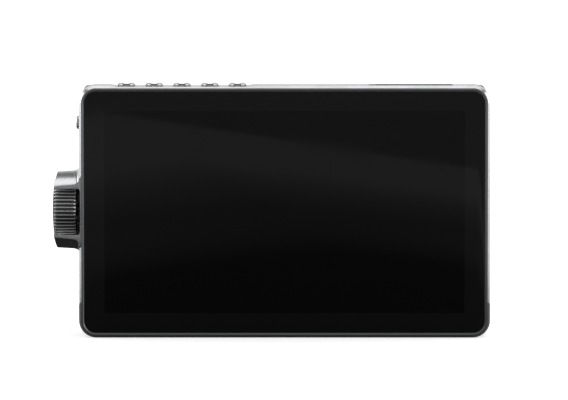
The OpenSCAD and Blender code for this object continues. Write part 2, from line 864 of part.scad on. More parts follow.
module fan_rotor() {
    hub = 6.5;
    blades = 7;
    blade_pitch = 38;
    y0 = fan_y + 1.2;
    y1 = fan_y + fan_d - 0.5;
    color("#2b2d30") at_fan() difference() {
        union() {
            rod_y(hub, y0, y1);
            intersection() {
                for (i = [0:blades - 1])
                    rotate([0, i * 360 / blades, 0]) translate([hub - 0.5, (y0 + y1) / 2, 0])
                        rotate([blade_pitch, 0, 0]) translate([0, -3.5, -0.35]) cube([fan_bore, 7, 0.7]);
                rod_y(fan_bore - 0.5, y0 + 0.1, y1 - 0.1);
            }
        }
        rod_y(axle_r + shaft_gap, y0 - 1, fan_y + fan_d - 1.3);
    }
}

// ---------------------------------------------------------------- keys

module key_board() {
    color("#1f5a3a") block(strip_x0, strip_x1, chassis_y + 0.2, board_y - 0.4, strip_z, strip_z + strip_t);
}

module key_switches() {
    color("#d7d9db") key_places() translate([0, 0, strip_z + strip_t]) {
        translate([-switch_w / 2, -switch_d / 2, 0]) cube([switch_w, switch_d, switch_h * 0.6]);
        cylinder(r = 0.9, h = switch_h);
    }
}

// A top key: two rounded humps with a finger scoop between them, and a flange under the wall
module key(i) {
    h = hollow_z + key_rise;
    scoop_w = key_w * 0.6;
    scoop_r = (pow(scoop_w / 2, 2) + pow(scoop, 2)) / (2 * scoop);
    hump = 0.45;
    color("#4a4d51") translate([key_x + i * key_pitch, key_y, 0]) {
        difference() {
            intersection() {
                translate([0, 0, in_top - fit]) linear_extrude(h - in_top + fit) rounded(key_w, key_d, 1.1);
                slab(-key_d, key_d) {
                    translate([-key_w / 2, in_top - 1]) square([key_w, h - hump - in_top + 1]);
                    translate([-key_w / 2 + hump, in_top - 1]) square([key_w - 2 * hump, h - in_top + 1]);
                    for (s = [-1, 1]) translate([s * (key_w / 2 - hump), h - hump]) circle(hump);
                }
            }
            translate([0, 0, h - scoop + scoop_r]) rod_y(scoop_r, -key_d, key_d);
        }
        translate([0, 0, key_foot_z]) linear_extrude(flange_k)
            square([key_w + 1.2, flange_depth], center = true);
    }
}

flange_depth = min(key_d + 0.6, 2 * (board_y - key_y) - 0.6);

module power_key() {
    round_r = 0.5;
    x_out = -side_x - power_rise;
    r = power_d / 2;
    color("#3a3c3f") translate([0, power_y, power_z]) rotate([0, 90, 0]) rotate_extrude() {
        translate([0, x_out]) square([r - round_r, -in_x - x_out]);
        translate([0, x_out + round_r]) square([r, -in_x - x_out - round_r + fit]);
        translate([r - round_r, x_out + round_r]) circle(round_r);
        translate([0, -in_x + fit]) square([r + 0.5, 0.6]);
    }
}

power_foot_x = -in_x + fit + 0.6;

module power_switch() {
    x = power_foot_x + key_travel + fit;
    color("#d7d9db") translate([0, power_y, power_z]) {
        rod_x(1, x, x + 1);
        translate([x + 0.4, -1.7, -1.7]) cube([1.4, 3.4, 3.4]);
        translate([x + 1.8, chassis_y - power_y, -3]) cube([0.8, board_y - chassis_y, 6]);
    }
}

// ---------------------------------------------------------------- card door

module card_socket() {
    color("#b4b7bb") difference() {
        block(card_x - socket_w / 2, card_x + socket_w / 2, socket_y0, board_y,
              socket_z - socket_h, socket_z);
        block(card_x - card_w / 2, card_x + card_w / 2, card_y0, card_y1,
              socket_z - socket_h + 1, socket_z + 1);
        for (s = [-1, 1]) translate([card_x + s * 9, 0, socket_z]) rod_y(2, socket_y0 - 1, card_y0 + eps);
    }
}

module card_door() {
    color("#74787d") difference() {
        union() {
            block(door_x0, door_x1, door_y0, hinge_y, door_top_z - door_t, door_top_z);
            translate([0, hinge_y, hinge_z]) rod_x(hinge_r, door_x0, door_x1);
        }
        translate([0, hinge_y, hinge_z]) rod_x(pin_r + shaft_gap, door_x0 - 1, door_x1 + 1);
    }
}

module door_seal() {
    z = door_top_z - door_t;
    color("#2a2b2d") difference() {
        block(door_x0 + 0.8, door_x1 - 0.8, door_y0 + 0.7, hinge_y - hinge_r - 0.5, z - seal_t, z);
        block(door_x0 + 1.6, door_x1 - 1.6, door_y0 + 1.5, hinge_y - hinge_r - 1.3, z - seal_t - 1, z + 1);
    }
}

module door_pin() {
    color("#d0d2d4") translate([0, hinge_y, hinge_z]) rod_x(pin_r, door_x0 - pin_end, door_x1 + pin_end);
}

// ---------------------------------------------------------------- wheel

// The slight dome that closes the wheel's end, as a section in radius and X
module dome_limit(x) {
    translate([0, x + dome_r]) circle(dome_r, $fn = 256);
}

// Room for the wheel inside the guard, with a rounded corner at its floor
module wheel_pocket() {
    turned() {
        translate([0, dome_x - 5]) square([pocket_r, floor_x - pocket_corner - dome_x + 5]);
        translate([0, dome_x - 5]) square([pocket_r - pocket_corner, floor_x - dome_x + 5]);
        translate([pocket_r - pocket_corner, floor_x - pocket_corner]) circle(pocket_corner);
    }
}

// A straight cut across the whole height of the guard
module guard_cut(x0, y0, y1) {
    block(x0, plug_x + 1, y0, y1, mid_z - tab_z - 1, mid_z + tab_z + 1);
}

module wheel_guard() {
    end_x = dome_x - 1;
    end_r = guard_r - (-side_x - end_x) * tan(guard_draft);
    color("#74787d") {
        difference() {
            union() {
                intersection() {
                    turned() polygon([[0, -side_x], [0, end_x], [end_r, end_x], [guard_r, -side_x]]);
                    translate([dome_x + guard_arc, 0, mid_z])
                        rod_y(guard_arc, guard_y - 1, back_y + guard_r, $fn = 256);
                }
                // flare at the root
                turned() difference() {
                    translate([guard_r - 0.6, -side_x - flare_r]) square([flare_r + 0.6, flare_r]);
                    translate([guard_r + flare_r, -side_x - flare_r]) circle(flare_r);
                }
                root_seat(0);
                // plug that fills the notch in the side walls
                at_wheel() rod_x(plug_r, -side_x - eps, plug_x);
            }
            wheel_pocket();
            at_wheel() {
                rod_x(flange_r + fit, floor_x - 1, floor_x + flange_t);
                rod_x(bush_r, floor_x - 1, plug_x + 1);
            }
            // open to the front, and flat at the back where the flare would pass the rear cover
            guard_cut(dome_x - 5, front_y - guard_r, guard_y);
            guard_cut(dome_x - 5, back_y - 0.9, back_y + guard_r);
            // clear of the front frame and the chassis
            guard_cut(-side_x + body_step - fit, guard_y - 1, mid_y + fit);
            guard_cut(-side_x + body_o - tongue_o - fit, guard_y - 1, seat_y + fit);
            guard_cut(-in_x, guard_y - 1, chassis_y + fit);
        }
        // tabs inside the side wall
        difference() {
            block(-in_x + fit, -in_x + fit + tab_t, chassis_y + 0.3, part_y - 0.1,
                  mid_z - tab_z, mid_z + tab_z);
            guard_screw_places() rod_x(screw_r, -side_x, -in_x + 3);
            at_wheel() rod_x(plug_r - 0.5, -side_x, -in_x + 3);
        }
    }
}

// A point across the wheel's axis, from a radius and a share of the ridge pitch
function ridge_point(r, k) = [r * cos(k * 360 / ridges), r * sin(k * 360 / ridges)];

// The grooves between the ridges, wider towards the rim
module grooves() {
    // radius and half width of a groove, the width as a share of the ridge pitch
    side = [[fade_r - groove, 0.1], [wheel_r - groove - 0.25, 0.08], [wheel_r + groove, 0.45]];
    for (i = [0:ridges - 1]) rotate(ridge_turn + (i + 0.5) * 360 / ridges) polygon([
        for (k = side) ridge_point(k[0], k[1]),
        for (j = [2:-1:0]) ridge_point(side[j][0], -side[j][1])
    ]);
}

// All that lies outside the grooves' floor: along the rim, then sloping out through the domed end
module above_grooves() {
    slope = (rim_end_x + groove - dome_at(fade_r)) / (wheel_r - groove - fade_r);
    turned() polygon([
        [wheel_r - groove, rim_x + 1], [wheel_r - groove, rim_end_x + groove],
        [fade_r - groove, dome_at(fade_r) - groove * slope], [fade_r - groove, dome_x - 2],
        [wheel_r + 1, dome_x - 2], [wheel_r + 1, rim_x + 1]
    ]);
}

module wheel_rim() {
    color("#5d6166") difference() {
        turned() polygon([
            [0, rim_x], [wheel_r - rim_chamfer, rim_x], [wheel_r, rim_x - rim_chamfer],
            [wheel_r, rim_end_x + end_chamfer], [wheel_r - end_chamfer, dome_at(wheel_r - end_chamfer)],
            [cap_r - 0.5, dome_at(cap_r - 0.5)], [0, dome_at(cap_r - 0.5)]
        ]);
        intersection() {
            at_wheel() translate([dome_x - 1, 0, 0]) rotate([0, 90, 0])
                linear_extrude(rim_x - dome_x + 2) grooves();
            above_grooves();
        }
        at_wheel() {
            rod_x(cap_r, dome_x - 1, dome_x + cap_t);
            rod_x(shaft_r, dome_x - 1, rim_x + 1);
        }
        // hollow round the hub on the body side
        turned() translate([hub_r, rim_x - 2.2]) square([wheel_r - hub_r - 2, 3]);
    }
}

module wheel_cap() {
    color("#84888d") turned() intersection() {
        translate([0, dome_x - 1]) square([cap_r - fit / 2, 1 + cap_t]);
        translate([0, 0.06]) dome_limit(dome_x);
    }
}

shaft_x0 = dome_x + cap_t + 0.1;
shaft_x1 = encoder_x - dome_t - fit - wheel_push - plunger_t - 0.02;

module wheel_shaft() {
    color("#c9ccd0") at_wheel() rod_x(shaft_r, shaft_x0, shaft_x1);
}

module wheel_bushing() {
    color("#b08d4a") at_wheel() difference() {
        union() {
            rod_x(flange_r, floor_x, floor_x + flange_t);
            rod_x(bush_r, floor_x + flange_t - eps, plug_x);
        }
        rod_x(shaft_r + shaft_gap, floor_x - 2, plug_x + 1);
    }
}

module encoder_body() {
    e = encoder_s / 2;
    color("#303336") at_wheel() difference() {
        translate([plug_x, -e, -e]) cube([encoder_x - plug_x, encoder_s, encoder_s]);
        rod_x(shaft_r + shaft_gap * 2, plug_x - 1, encoder_x);
        rod_x(disc_r + 0.3, encoder_x - dome_t - wheel_push - plunger_t - 0.4, encoder_x + 1);
    }
}

module encoder_plunger() {
    x1 = encoder_x - dome_t - fit - wheel_push;
    color("#e2e4e6") at_wheel() rod_x(disc_r, x1 - plunger_t, x1);
}

module encoder_switch() {
    color("#c9ccd0") at_wheel() rod_x(1.6, encoder_x - dome_t, encoder_x);
}

module encoder_board() {
    color("#1f5a3a") at_wheel() translate([encoder_x, -5, -7]) cube([1, 10, 14]);
}

// ---------------------------------------------------------------- sockets

// A flat socket shell with a tongue, on the back face of the main board
module flat_socket(z, w, t, l, shell, tongue) {
    difference() {
        block(port_x - l, port_x, port_y, port_y + t, z - w / 2, z + w / 2);
        block(port_x - l + 1, port_x + 1, port_y + shell, port_y + t - shell,
              z - w / 2 + shell, z + w / 2 - shell);
    }
    block(port_x - l + 0.5, port_x - 1, port_y + t / 2 - tongue / 2, port_y + t / 2 + tongue / 2,
          z - w * 0.36, z + w * 0.36);
}

module video_in_socket() {
    color("#b4b7bb") flat_socket(video_z[0], video_w, video_t, video_l, 0.5, 0.9);
}

module video_out_socket() {
    color("#b4b7bb") flat_socket(video_z[1], video_w, video_t, video_l, 0.5, 0.9);
}

module usb_socket() {
    color("#b4b7bb") flat_socket(usb_z, usb_w, usb_t, usb_l, 0.35, 0.7);
}

// A block with a round bore facing +X
module round_socket(z, s, r, l, depth) {
    difference() {
        block(port_x - l, port_x, port_y, port_y + s, z - s / 2, z + s / 2);
        translate([0, port_y + s / 2, z]) rod_x(r, port_x - depth, port_x + 1);
    }
}

module headphone_socket() {
    color("#1c1d1f") round_socket(jack_z, jack_s, jack_r, jack_l, jack_depth);
}

module power_inlet() {
    color("#1c1d1f") {
        round_socket(inlet_z, inlet_s, inlet_r, inlet_l, inlet_depth);
        translate([0, port_y + inlet_s / 2, inlet_z])
            rod_x(inlet_pin_r, port_x - inlet_depth - 0.5, port_x - 1.5);
    }
}

// ---------------------------------------------------------------- battery plate

hook_z = [plate_z - 13, plate_z + 11];

// Hook on the plate's left side, its lip turned inwards
module hook(z) {
    x0 = 1 - plate_w / 2;
    block(x0, x0 + hook_w, plate_face_y - eps, back_y + hook_h, z - hook_l / 2, z + hook_l / 2);
    block(x0, x0 + hook_w + 1, back_y + hook_h - 1, back_y + hook_h, z - hook_l / 2, z + hook_l / 2);
}

// The slot that the latch's nose comes through
module latch_slot(gap, y0, y1) {
    block(-latch_w / 2 - gap, latch_w / 2 + gap, y0, y1,
          latch_z - latch_h / 2 - gap, latch_z + latch_h / 2 + gap);
}

module battery_plate() {
    color("#202224") difference() {
        union() {
            translate([0, 0, plate_z]) slab(inner_back_y - eps, plate_face_y) rounded(plate_w, plate_h, 2);
            translate([0, 0, plate_z]) slab(inner_back_y - 1.2, inner_back_y)
                rounded(plate_w + 2 * flange_w, plate_h + 2 * flange_w - 2, 2);
            for (z = hook_z) {
                hook(z);
                mirror([1, 0, 0]) hook(z);
            }
            block(-8, 8, plate_face_y - eps, back_y + hook_h + 1, contact_z - 2.4, contact_z + 2.4);
        }
        for (x = contact_xs)
            block(x - 0.9, x + 0.9, plate_face_y, back_y + hook_h + 2, contact_z - 1.4, contact_z + 3);
        plate_screw_places() rod_y(screw_r, inner_back_y - 2, inner_back_y + 1);
        latch_slot(slide_gap, inner_back_y - 2, back_y);
    }
}

module battery_contacts() {
    color("#c8a24a") for (x = contact_xs)
        block(x - 0.35, x + 0.35, plate_face_y, back_y + hook_h + 0.2, contact_z - 1.4, contact_z + 2);
}

// The latch nose and its release button share one bar behind the plate
module battery_latch() {
    nose_y = plate_face_y + latch_rise;
    low = latch_z - latch_h / 2;
    high = latch_z + latch_h / 2;
    color("#5a5d61") {
        along_x(-latch_w / 2, latch_w / 2) polygon([
            [bar_y + bar_t - eps, low], [nose_y, low], [nose_y, latch_z - 1],
            [plate_face_y - 0.1, high], [bar_y + bar_t - eps, high]
        ]);
        block(-latch_w / 2, release_x + 2, bar_y, bar_y + bar_t, low, high);
        translate([release_x, 0, latch_z]) rod_y(release_r, bar_y + bar_t - eps, back_y + release_rise);
    }
}

// ---------------------------------------------------------------- nodes

front_frame();
cover_glass();
glass_gasket();
touch_sensor();
lcd_cell();
light_guide();
lcd_tray();
display_ribbon();
chassis_plate();
mid_frame();
rear_cover();
base_bumper();
tripod_insert();
chassis_screws();
board_screws();
rear_screws();
main_board();
board_chips();
heat_sink();
fan_frame();
fan_screws();
fan_rotor();
key_board();
key_switches();
key(0);  // key_1
key(1);  // key_2
key(2);  // key_3
key(3);  // key_4
key(4);  // key_5
power_key();
power_switch();
card_socket();
card_door();
door_seal();
door_pin();
wheel_guard();
guard_screws();
wheel_rim();
wheel_cap();
wheel_shaft();
wheel_bushing();
encoder_body();
encoder_plunger();
encoder_board();
encoder_switch();
video_in_socket();
video_out_socket();
usb_socket();
headphone_socket();
power_inlet();
battery_plate();
battery_contacts();
battery_latch();
plate_screws();
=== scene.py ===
import json
import math

import bmesh
import bpy
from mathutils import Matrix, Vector


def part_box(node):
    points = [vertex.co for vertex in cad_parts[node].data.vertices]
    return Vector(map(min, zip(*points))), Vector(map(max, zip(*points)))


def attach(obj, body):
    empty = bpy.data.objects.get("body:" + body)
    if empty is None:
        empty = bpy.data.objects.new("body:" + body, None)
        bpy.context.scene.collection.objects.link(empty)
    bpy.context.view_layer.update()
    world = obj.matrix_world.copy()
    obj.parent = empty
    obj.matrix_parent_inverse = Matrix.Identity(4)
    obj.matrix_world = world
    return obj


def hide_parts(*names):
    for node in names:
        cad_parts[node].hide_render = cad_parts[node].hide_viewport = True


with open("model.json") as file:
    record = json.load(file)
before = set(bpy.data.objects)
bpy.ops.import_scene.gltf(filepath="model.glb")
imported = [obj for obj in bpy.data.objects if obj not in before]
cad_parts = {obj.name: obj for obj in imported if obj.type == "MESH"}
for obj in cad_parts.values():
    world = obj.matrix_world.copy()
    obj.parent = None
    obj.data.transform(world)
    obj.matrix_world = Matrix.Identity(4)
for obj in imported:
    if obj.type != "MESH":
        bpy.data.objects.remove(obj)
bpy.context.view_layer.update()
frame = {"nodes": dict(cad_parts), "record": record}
nodes = frame["nodes"]
mm = 0.001

print("stage: camera, floor and light")

# where the middle of the glass falls in the picture, and how large a pixel is there
photo = {
    "width": 568,
    "height": 400,
    "glassX": 284.55,
    "glassY": 212.3,
    "pixel": 0.3378 * mm,
    "distance": 2.34,
    "elevation": 5.5,
}

studio = {
    "floorColor": (0.8, 0.8, 0.8, 1.0),
    "floorSize": 6.0,
    "floorLift": (0.57, 0.76),  # added to the floor that the camera sees, near the monitor and far behind it
    "liftReach": (0.4, 1.6),
    "worldFill": 0.42,
    "backdropTop": 0.18,       # sine of the height up to which shiny things see the white backdrop
    "ceilingFrom": 0.75,       # and from where they see the dim ceiling
    "ceilingLevel": 0.2,
    "frontTurn": (-0.75, -0.2),
    "frontLevel": 0.3,
    "paintedShadowNear": 0.03,         # painted shadow: floor brightness that shiny things see beside the monitor
    "floorFront": 0.6,         # in front of it, reached over this distance
    "frontReach": (0.12, 0.6),
    "floorBack": 1.0,          # and behind it
    "backReach": (0.12, 0.28),
    "besideReach": (-0.25, 0.0),
    "topSize": (1.3, 0.5),
    "topPower": 3.6,
    "topPlace": (0.0, 0.08, 0.85),
    "sideSize": (0.9, 0.7),
    "sidePower": 5.0,
    "sidePlace": (1.0, 0.45, 0.35),
    "frontSize": (0.8, 0.8),
    "frontPower": 3.6,
    "frontPlace": (1.0, -0.95, 0.24),
    "aimHeight": 0.04,
}


def boxMiddle(node):
    lo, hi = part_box(node)
    return (lo + hi) / 2


def boxSize(node):
    lo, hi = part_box(node)
    return hi - lo


def newObject(name, data):
    made = bpy.data.objects.new(name, data)
    bpy.context.scene.collection.objects.link(made)
    return made


def makeCamera():
    tilt = math.radians(photo["elevation"])
    target = boxMiddle("cover_glass")
    target.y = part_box("cover_glass")[0].y
    target.x += (photo["width"] / 2 - photo["glassX"]) * photo["pixel"]
    target.z += (photo["glassY"] - photo["height"] / 2) * photo["pixel"] / math.cos(tilt)
    data = bpy.data.cameras.new("camera")
    data.sensor_width = 36.0
    data.lens = data.sensor_width * photo["distance"] / (photo["width"] * photo["pixel"])
    data.clip_start = 0.05
    data.clip_end = 50.0
    camera = newObject("camera", data)
    back = Vector((0, -math.cos(tilt), math.sin(tilt)))
    camera.location = target + back * photo["distance"]
    camera.rotation_euler = (math.pi / 2 - tilt, 0, 0)
    bpy.context.scene.camera = camera


# Small helpers that keep the node trees short. A value may be a number, a colour or another socket.
def feed(tree, socket, value):
    if isinstance(value, bpy.types.NodeSocket):
        tree.links.new(value, socket)
    else:
        socket.default_value = value


# A node with its sockets filled by name; an underscore stands for a space
def newNode(tree, kind, **values):
    node = tree.nodes.new(kind)
    fill(tree, node, **values)
    return node


def fill(tree, node, **values):
    for name, value in values.items():
        feed(tree, node.inputs[name.replace("_", " ")], value)


def calc(tree, operation, *values):
    node = tree.nodes.new("ShaderNodeMath")
    node.operation = operation
    for socket, value in zip(node.inputs, values):
        feed(tree, socket, value)
    return node.outputs[0]


def remap(tree, value, fromLow, fromHigh, toLow, toHigh, soft=True):
    node = newNode(tree, "ShaderNodeMapRange", Value=value, From_Min=fromLow, From_Max=fromHigh,
                   To_Min=toLow, To_Max=toHigh)
    node.interpolation_type = "SMOOTHSTEP" if soft else "LINEAR"
    return node.outputs[0]


def mixValues(tree, share, first, second):
    return calc(tree, "ADD", first, calc(tree, "MULTIPLY", share, calc(tree, "SUBTRACT", second, first)))


def distance(tree, first, second):
    squares = [calc(tree, "MULTIPLY", axis, axis) for axis in (first, second)]
    return calc(tree, "SQRT", calc(tree, "ADD", *squares))


def vectorCalc(tree, operation, first, second):
    node = tree.nodes.new("ShaderNodeVectorMath")
    node.operation = operation
    feed(tree, node.inputs[0], first)
    feed(tree, node.inputs["Scale" if operation == "SCALE" else 1], second)
    return node.outputs["Value" if operation == "DOT_PRODUCT" else "Vector"]


def splitAxes(tree, kind):
    coords = tree.nodes.new("ShaderNodeTexCoord")
    parts = tree.nodes.new("ShaderNodeSeparateXYZ")
    tree.links.new(coords.outputs[kind], parts.inputs[0])
    return parts.outputs


def mixShaders(tree, share, first, second):
    node = newNode(tree, "ShaderNodeMixShader", Fac=share)
    feed(tree, node.inputs[1], first.outputs[0])
    feed(tree, node.inputs[2], second.outputs[0])
    return node.outputs[0]


def makeWorld():
    world = bpy.data.worlds.new("studio")
    world.use_nodes = True
    tree = world.node_tree
    tree.nodes.clear()
    path = tree.nodes.new("ShaderNodeLightPath").outputs
    axes = splitAxes(tree, "Generated")
    # white backdrop behind and beside, dim ceiling and dim side towards the photographer
    height = remap(tree, axes["Z"], studio["backdropTop"], studio["ceilingFrom"], 1.0, studio["ceilingLevel"])
    facing = remap(tree, axes["Y"], *studio["frontTurn"], studio["frontLevel"], 1.0)
    shiny = calc(tree, "MINIMUM", height, facing)
    level = calc(tree, "MAXIMUM", path["Is Camera Ray"], shiny)
    seen = calc(tree, "MAXIMUM", path["Is Camera Ray"],
                calc(tree, "MAXIMUM", path["Is Glossy Ray"], path["Is Transmission Ray"]))
    plain = newNode(tree, "ShaderNodeBackground", Strength=studio["worldFill"], Color=(1, 1, 1, 1))
    backdrop = newNode(tree, "ShaderNodeBackground", Strength=level, Color=(1, 1, 1, 1))
    mixed = mixShaders(tree, seen, plain, backdrop)
    newNode(tree, "ShaderNodeOutputWorld", Surface=mixed)
    bpy.context.scene.world = world


def makeFloor():
    half = studio["floorSize"] / 2
    mesh = bpy.data.meshes.new("floor")
    corners = [(-half, -half, 0), (half, -half, 0), (half, half, 0), (-half, half, 0)]
    mesh.from_pydata(corners, [], [(0, 1, 2, 3)])
    floor = newObject("floor", mesh)
    material = bpy.data.materials.new("floor")
    material.use_nodes = True
    tree = material.node_tree
    tree.nodes.clear()
    path = tree.nodes.new("ShaderNodeLightPath").outputs
    axes = splitAxes(tree, "Object")
    paper = newNode(tree, "ShaderNodeBsdfDiffuse", Color=studio["floorColor"])
    away = distance(tree, axes["X"], axes["Y"])
    further = remap(tree, away, *studio["liftReach"], *studio["floorLift"])
    lift = newNode(tree, "ShaderNodeEmission", Strength=calc(tree, "MULTIPLY", path["Is Camera Ray"], further))
    lit = tree.nodes.new("ShaderNodeAddShader")
    feed(tree, lit.inputs[0], paper.outputs[0])
    feed(tree, lit.inputs[1], lift.outputs[0])
    # what shiny surfaces see is painted: a painted shadow, dark beside the monitor where it shades the floor, and a
    # painted paler floor further off
    front = remap(tree, away, *studio["frontReach"], studio["paintedShadowNear"], studio["floorFront"], soft=False)
    back = remap(tree, away, *studio["backReach"], studio["paintedShadowNear"], studio["floorBack"], soft=False)
    beside = remap(tree, axes["Y"], *studio["besideReach"], 0.0, 1.0)
    paintedFloorReflection = newNode(tree, "ShaderNodeEmission", Strength=mixValues(tree, beside, front, back))
    shiny = calc(tree, "MAXIMUM", path["Is Glossy Ray"], path["Is Transmission Ray"])
    newNode(tree, "ShaderNodeOutputMaterial", Surface=mixShaders(tree, shiny, lit, paintedFloorReflection))
    mesh.materials.append(material)


def makeLamp(name, place, size, power):
    data = bpy.data.lights.new(name, "AREA")
    data.shape = "RECTANGLE"
    data.size, data.size_y = size
    data.energy = power
    lamp = newObject(name, data)
    lamp.location = place
    aim = Vector((0, 0, studio["aimHeight"])) - Vector(place)
    lamp.rotation_mode = "QUATERNION"
    lamp.rotation_quaternion = aim.to_track_quat("-Z", "Y")


makeCamera()
makeWorld()
makeFloor()
makeLamp("topLight", studio["topPlace"], studio["topSize"], studio["topPower"])
for side, name in ((-1, "leftLight"), (1, "rightLight")):
    x, y, z = studio["sidePlace"]
    makeLamp(name, (side * x, y, z), studio["sideSize"], studio["sidePower"])
makeLamp("frontLight", studio["frontPlace"], studio["frontSize"], studio["frontPower"])
bpy.context.scene.view_settings.view_transform = "Standard"

print("stage: materials")


def newMaterial(name):
    material = bpy.data.materials.new(name)
    material.use_nodes = True
    return material, material.node_tree, material.node_tree.nodes["Principled BSDF"]


def objectCoords(tree, place=(0, 0, 0), turn=(0, 0, 0), scale=(1, 1, 1)):
    coords = tree.nodes.new("ShaderNodeTexCoord")
    return newNode(tree, "ShaderNodeMapping", Vector=coords.outputs["Object"], Location=place, Rotation=turn,
                   Scale=scale).outputs[0]


def noise(tree, coords, size, detail=2.0, rough=0.5):
    node = newNode(tree, "ShaderNodeTexNoise", Vector=coords, Scale=1 / size, Detail=detail, Roughness=rough)
    return node.outputs["Fac"]


# A level that follows a noise from this much below to this much above
def wander(tree, pattern, level, below, above):
    return remap(tree, pattern, 0.3, 0.7, level - below, level + above)


def blendColors(tree, factor, first, second):
    node = tree.nodes.new("ShaderNodeMix")
    node.data_type = "RGBA"
    feed(tree, node.inputs[0], factor)
    for place, color in ((6, first), (7, second)):
        feed(tree, node.inputs[place], color if isinstance(color, bpy.types.NodeSocket) else (*color, 1))
    return node.outputs[2]


def bump(tree, height, depth, normal=None):
    node = newNode(tree, "ShaderNodeBump", Height=height, Distance=depth)
    if normal is not None:
        feed(tree, node.inputs["Normal"], normal)
    return node.outputs[0]


# A soft edge on hard corners, and how far a spot is bent by it: 0 on a flat face, more near an edge
def softEdge(tree, radius):
    edge = newNode(tree, "ShaderNodeBevel", Radius=radius)
    edge.samples = 4
    flat = tree.nodes.new("ShaderNodeNewGeometry")
    along = vectorCalc(tree, "DOT_PRODUCT", edge.outputs[0], flat.outputs["Normal"])
    return edge.outputs[0], remap(tree, along, 0.995, 0.75, 0.0, 1.0)


# Bead-blasted and anodised metal: fine pits, faint clouds in the gloss, paler rubbed edges
def blastedMetal(name, look):
    material, tree, shader = newMaterial(name)
    coords = objectCoords(tree)
    normal, bend = softEdge(tree, look["edge"])
    pits = noise(tree, coords, look["grain"], 3.0, 0.6)
    clouds = noise(tree, coords, 9 * mm, 3.0)
    scuffs = noise(tree, objectCoords(tree, scale=(1, 1, 0.08)), 0.5 * mm, 2.0)
    base = blendColors(tree, clouds, look["color"], look["shade"])
    base = blendColors(tree, remap(tree, pits, 0.35, 0.7, 0.0, look["speck"]), base, look["worn"])
    rubbed = calc(tree, "MULTIPLY", bend, remap(tree, clouds, 0.35, 0.65, 0.25, 1.0))
    base = blendColors(tree, calc(tree, "MULTIPLY", rubbed, look["wear"]), base, look["worn"])
    rough = calc(tree, "ADD", wander(tree, clouds, look["rough"], 0.03, 0.04), calc(tree, "MULTIPLY", scuffs, 0.03))
    fill(tree, shader, Base_Color=base, Roughness=rough, Metallic=look["metal"],
         Normal=bump(tree, pits, look["depth"], normal))
    return material


# Moulded plastic: fine spark texture, slight change of tone, a little shine on edges
def mouldedPlastic(name, look):
    material, tree, shader = newMaterial(name)
    coords = objectCoords(tree)
    normal, bend = softEdge(tree, look["edge"])
    grain = noise(tree, coords, look["grain"], 4.0, 0.65)
    flow = noise(tree, objectCoords(tree, scale=(1, 1, 0.3)), 14 * mm, 2.0)
    base = blendColors(tree, flow, look["color"], look["shade"])
    base = blendColors(tree, calc(tree, "MULTIPLY", bend, look["wear"]), base, look["worn"])
    rough = calc(tree, "SUBTRACT", wander(tree, grain, look["rough"], 0.06, 0.06), calc(tree, "MULTIPLY", bend, 0.1))
    fill(tree, shader, Base_Color=base, Roughness=rough, Specular_IOR_Level=look["specular"],
         Normal=bump(tree, grain, look["depth"], normal))
    return material


# Turned or drawn metal, with fine lines round the axis that the piece was turned on
def turnedMetal(name, look):
    material, tree, shader = newMaterial(name)
    axis = look["axis"]
    parts = tree.nodes.new("ShaderNodeSeparateXYZ")
    feed(tree, parts.inputs[0], objectCoords(tree, place=[-c for c in look["centre"]]))
    across = [parts.outputs[i] for i in range(3) if i != axis]
    radius = distance(tree, *across)
    joined = tree.nodes.new("ShaderNodeCombineXYZ")
    feed(tree, joined.inputs[0], radius)
    feed(tree, joined.inputs[1], parts.outputs[axis])
    lines = noise(tree, joined.outputs[0], look["line"], 3.0, 0.7)
    clouds = noise(tree, objectCoords(tree), 6 * mm, 2.0)
    normal, bend = softEdge(tree, look["edge"])
    base = blendColors(tree, lines, look["color"], look["shade"])
    base = blendColors(tree, calc(tree, "MULTIPLY", bend, look["wear"]), base, look["worn"])
    rough = calc(tree, "ADD", wander(tree, lines, look["rough"], 0.04, 0.05), calc(tree, "MULTIPLY", clouds, 0.05))
    metal = 1.0
    if "paintedGrooveShade" in look:
        # painted shade: darker at the bottom of the grooves, but not on the domed end
        low = remap(tree, radius, look["grooveShadeTop"], look["grooveShadeTop"] - look["grooveShadeDepth"], 0.0, 1.0)
        rim = remap(tree, parts.outputs[axis], look["rimEnd"], look["rimEnd"] + look["rimFade"], 0.0, 1.0)
        base = blendColors(tree, calc(tree, "MULTIPLY", low, rim), base, look["paintedGrooveShade"])
        # the end face is matt and dark inside the ridges' ends
        inside = remap(tree, radius, look["faceRadius"] + look["faceFade"], look["faceRadius"] - look["faceFade"],
                       0.0, 1.0)
        end = calc(tree, "MULTIPLY", inside, calc(tree, "SUBTRACT", 1.0, rim))
        base = blendColors(tree, end, base, look["face"])
        rough = mixValues(tree, end, rough, look["faceRough"])
        metal = calc(tree, "SUBTRACT", 1.0, calc(tree, "MULTIPLY", end, 0.9))
    fill(tree, shader, Base_Color=base, Roughness=rough, Metallic=metal,
         Normal=bump(tree, lines, look["depth"], normal))
    return material


